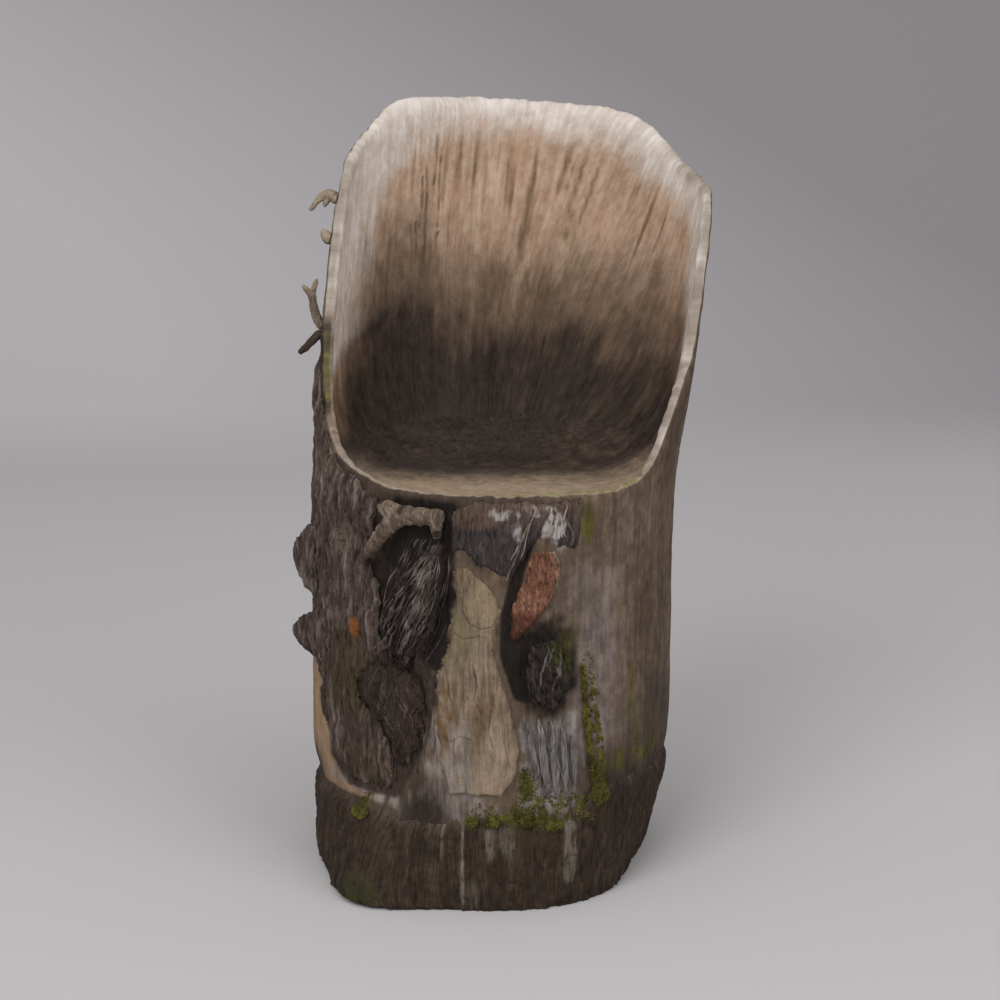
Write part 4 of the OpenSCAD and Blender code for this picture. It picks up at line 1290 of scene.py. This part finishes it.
class STUMP_OT_moss(bpy.types.Operator):
    """Grows moss on the foot bark's upper edge and in a streak down the wood"""

    bl_idname = "stump.moss"
    bl_label = "Moss"

    def execute(self, context):
        # Living moss: yellow-green, soft, darker between its tufts
        moss = context.scene.stump_moss
        layers = [("bright", "#56531c", "#807c33", 3, 0.48)]
        material = grown("living_moss", (moss.dark, moss.middle, moss.light), (2, 2), layers, bump=1.2)

        def foot_moss(spot):
            clumps = ease(noise(spot.at / (9 * MM), 95), -0.2, 0.4)
            damp = band(spot.angle, 263, 302, 4) * band(spot.z / MM, 104, 126, 5)
            corner = spot.blob(280, 146, 2.6, 30) + spot.blob(287, 125, 10, 12) + spot.blob(222, 112, 2.4, 7)
            return clumps * (0.5 * damp + corner + 0.5 * spot.blob(281, 116, 9, 14))

        def streak_moss(spot):
            clumps = ease(noise(spot.at / (8 * MM), 96), -0.1, 0.5)
            line = spot.between(
                [(118, 303.5), (220, 302.5), (300, 300)], [(118, 307), (220, 304), (300, 301)], soft=0.5
            )
            line = line * ease(spot.z / MM, 330, 210)
            return clumps * (line + spot.blob(305.5, 138, 1.6, 20) + 0.15 * spot.blob(321, 190, 1.4, 34))

        for node, seed, weight in (("moss_foot", 91, foot_moss), ("moss_streak", 92, streak_moss)):
            piece = finer(node, node + "_growth", 2)
            at, normal = places(piece)
            # The cushions shrink and turn lumpy, and the tufts cover them
            lump = rough(at / (5 * MM), seed, octaves=3)
            move(piece, at - normal * (1.6 + 1.6 * lump)[:, None] * MM)
            grounds = [(piece, lambda spot: np.ones(len(spot.z)), moss.inner)]
            grounds += [(bpy.data.objects[name], weight, moss.outer) for name in ("trunk", "foot_bark_ring")]
            centres = np.concatenate([scatter(*ground, seed + i) for i, ground in enumerate(grounds)])
            sizes = np.random.default_rng(seed).uniform(0.5, 1.25, len(centres))
            join(piece, tufts(node + "_tufts", centres, sizes, seed + 5))
            spot = Spot(*places(piece))
            keep_vector(piece, "grain", spot.grain)
            mask(piece, "groove", 0.7 * ease(rough(spot.at / (5 * MM), seed + 8), 0.1, -0.5))
            mask(piece, "bright", 0.5 + 0.5 * noise(spot.at / (12 * MM), seed))
            finish_piece(piece, material, "moss", node)
        return {"FINISHED"}


# Stage

# Half the floor's width, where it starts in front and how far back it goes, in metres
FLOOR_HALF = 9
FLOOR_FRONT = -6
FLOOR_DEPTH = 9
# The floor turns up into the wall in short steps, above which the wall goes straight up
BEND_STEPS = 24
BEND_STEP = 0.25
WALL = 5
# Name, place and side in metres, and power in watts of each square lamp
LAMPS = (
    ("key", (-2.2, -4.1, 4.1), 3.0, 122),
    ("fill", (3.6, -3.3, 2.8), 3.6, 66),
    ("top", (0, -1.2, 4.2), 3.2, 38),
)
LAMPS_AIM = Vector((0, 0, 0.4))
DAYLIGHT = 0.43
# Place of the camera in metres, how many degrees it looks down, and its lens in millimetres
CAMERA_AT = (0, -2.3125, 0.9645)
CAMERA_DOWN = 12.9
LENS = 72
SENSOR = 36


class STUMP_OT_stage(bpy.types.Operator):
    """Sets the floor, the lights and the camera"""

    bl_idname = "stump.stage"
    bl_label = "Stage"

    def execute(self, context):
        shape = bmesh.new()
        start = [shape.verts.new((x, FLOOR_FRONT, 0)) for x in (-FLOOR_HALF, FLOOR_HALF)]
        edge = shape.edges.new(start)
        turns = np.linspace(0, math.pi / 2, BEND_STEPS)
        bend = [(0, BEND_STEP * math.cos(turn), BEND_STEP * math.sin(turn)) for turn in turns]
        for step in [(0, FLOOR_DEPTH, 0), *bend, (0, 0, WALL)]:
            grown_edge = bmesh.ops.extrude_edge_only(shape, edges=[edge])["geom"]
            verts = [v for v in grown_edge if isinstance(v, bmesh.types.BMVert)]
            bmesh.ops.translate(shape, verts=verts, vec=step)
            edges = [e for e in grown_edge if isinstance(e, bmesh.types.BMEdge)]
            edge = next(e for e in edges if all(v in verts for v in e.verts))
        floor = new_piece("studio_sweep", shape)
        floor.data.polygons.foreach_set("use_smooth", [True] * len(floor.data.polygons))
        material = bpy.data.materials.new("painted_sweep")
        material.use_nodes = True
        # The paint is even on the floor; the wall has painted shade, darker higher up and towards its right
        tree = material.node_tree
        shader = tree.nodes["Principled BSDF"]
        place = add(tree, "SeparateXYZ", {"Vector": add(tree, "TexCoord").outputs["Object"]})
        side = {0: place.outputs["X"], 1: 0.6, 2: place.outputs["Z"]}
        side = add(tree, "Math", side, operation="MULTIPLY_ADD").outputs[0]
        shade = add(tree, "MapRange", {"Value": side, "From Min": -0.6, "From Max": 1.2}).outputs[0]
        paint = add(tree, "Mix", {0: shade, 6: colour("#e6e3e6"), 7: colour("#b4b0b3")}, data_type="RGBA")
        wall = add(tree, "MapRange", {"Value": place.outputs["Y"], "From Min": 2.2, "From Max": 3.0})
        paint = {0: wall.outputs[0], 6: colour("#cfcccd"), 7: paint.outputs[2]}
        paint = add(tree, "Mix", paint, data_type="RGBA").outputs[2]
        tree.links.new(paint, shader.inputs["Base Color"])
        shader.inputs["Roughness"].default_value = 0.9
        floor.data.materials.append(material)

        world = bpy.data.worlds.new("studio")
        world.use_nodes = True
        sky = world.node_tree.nodes["Background"]
        sky.inputs["Color"].default_value = colour("#f4f2f2")
        sky.inputs["Strength"].default_value = DAYLIGHT
        context.scene.world = world
        for name, place, size, power in LAMPS:
            light = bpy.data.lights.new(name, "AREA")
            light.size = size
            light.energy = power
            lamp = bpy.data.objects.new(name, light)
            lamp.location = place
            lamp.rotation_euler = (LAMPS_AIM - Vector(place)).to_track_quat("-Z", "Y").to_euler()
            context.scene.collection.objects.link(lamp)

        lens = bpy.data.cameras.new("camera")
        lens.lens = LENS
        lens.sensor_width = SENSOR
        camera = bpy.data.objects.new("camera", lens)
        camera.location = CAMERA_AT
        camera.rotation_euler = (math.radians(90 - CAMERA_DOWN), 0, 0)
        context.scene.collection.objects.link(camera)
        context.scene.camera = camera
        context.scene.view_settings.view_transform = "Standard"
        return {"FINISHED"}


class STUMP_PT_panel(bpy.types.Panel):
    """Lists the pieces of the chair"""

    bl_idname = "STUMP_PT_panel"
    bl_label = "Stump chair"
    bl_space_type = "VIEW_3D"
    bl_region_type = "UI"
    bl_category = "Stump chair"

    def draw(self, context):
        scene = context.scene
        groups = {"Wood": scene.stump_trunk, "Bark": scene.stump_bark, "Moss": scene.stump_moss}
        for title, settings in groups.items():
            self.layout.label(text=title)
            for name in settings.__annotations__:
                self.layout.prop(settings, name)
        for operator in OPERATORS:
            self.layout.operator(operator.bl_idname)


OPERATORS = (
    STUMP_OT_trunk,
    STUMP_OT_foot_bark,
    STUMP_OT_side_bark,
    STUMP_OT_loose_bark,
    STUMP_OT_front_plates,
    STUMP_OT_burl,
    STUMP_OT_ivy,
    STUMP_OT_moss,
    STUMP_OT_stage,
)
CLASSES = (TrunkSettings, BarkSettings, MossSettings, *OPERATORS, STUMP_PT_panel)


def register():
    for kind in CLASSES:
        bpy.utils.register_class(kind)
    bpy.types.Scene.stump_trunk = bpy.props.PointerProperty(type=TrunkSettings)
    bpy.types.Scene.stump_bark = bpy.props.PointerProperty(type=BarkSettings)
    bpy.types.Scene.stump_moss = bpy.props.PointerProperty(type=MossSettings)


def unregister():
    del bpy.types.Scene.stump_trunk, bpy.types.Scene.stump_bark, bpy.types.Scene.stump_moss
    for kind in reversed(CLASSES):
        bpy.utils.unregister_class(kind)


def main():
    """Builds the chair piece by piece."""
    register()
    bpy.ops.stump.trunk()
    bpy.ops.stump.foot_bark()
    bpy.ops.stump.side_bark()
    bpy.ops.stump.loose_bark()
    bpy.ops.stump.front_plates()
    bpy.ops.stump.burl()
    bpy.ops.stump.ivy()
    bpy.ops.stump.moss()
    bpy.ops.stump.stage()


if __name__ == "__main__":
    main()
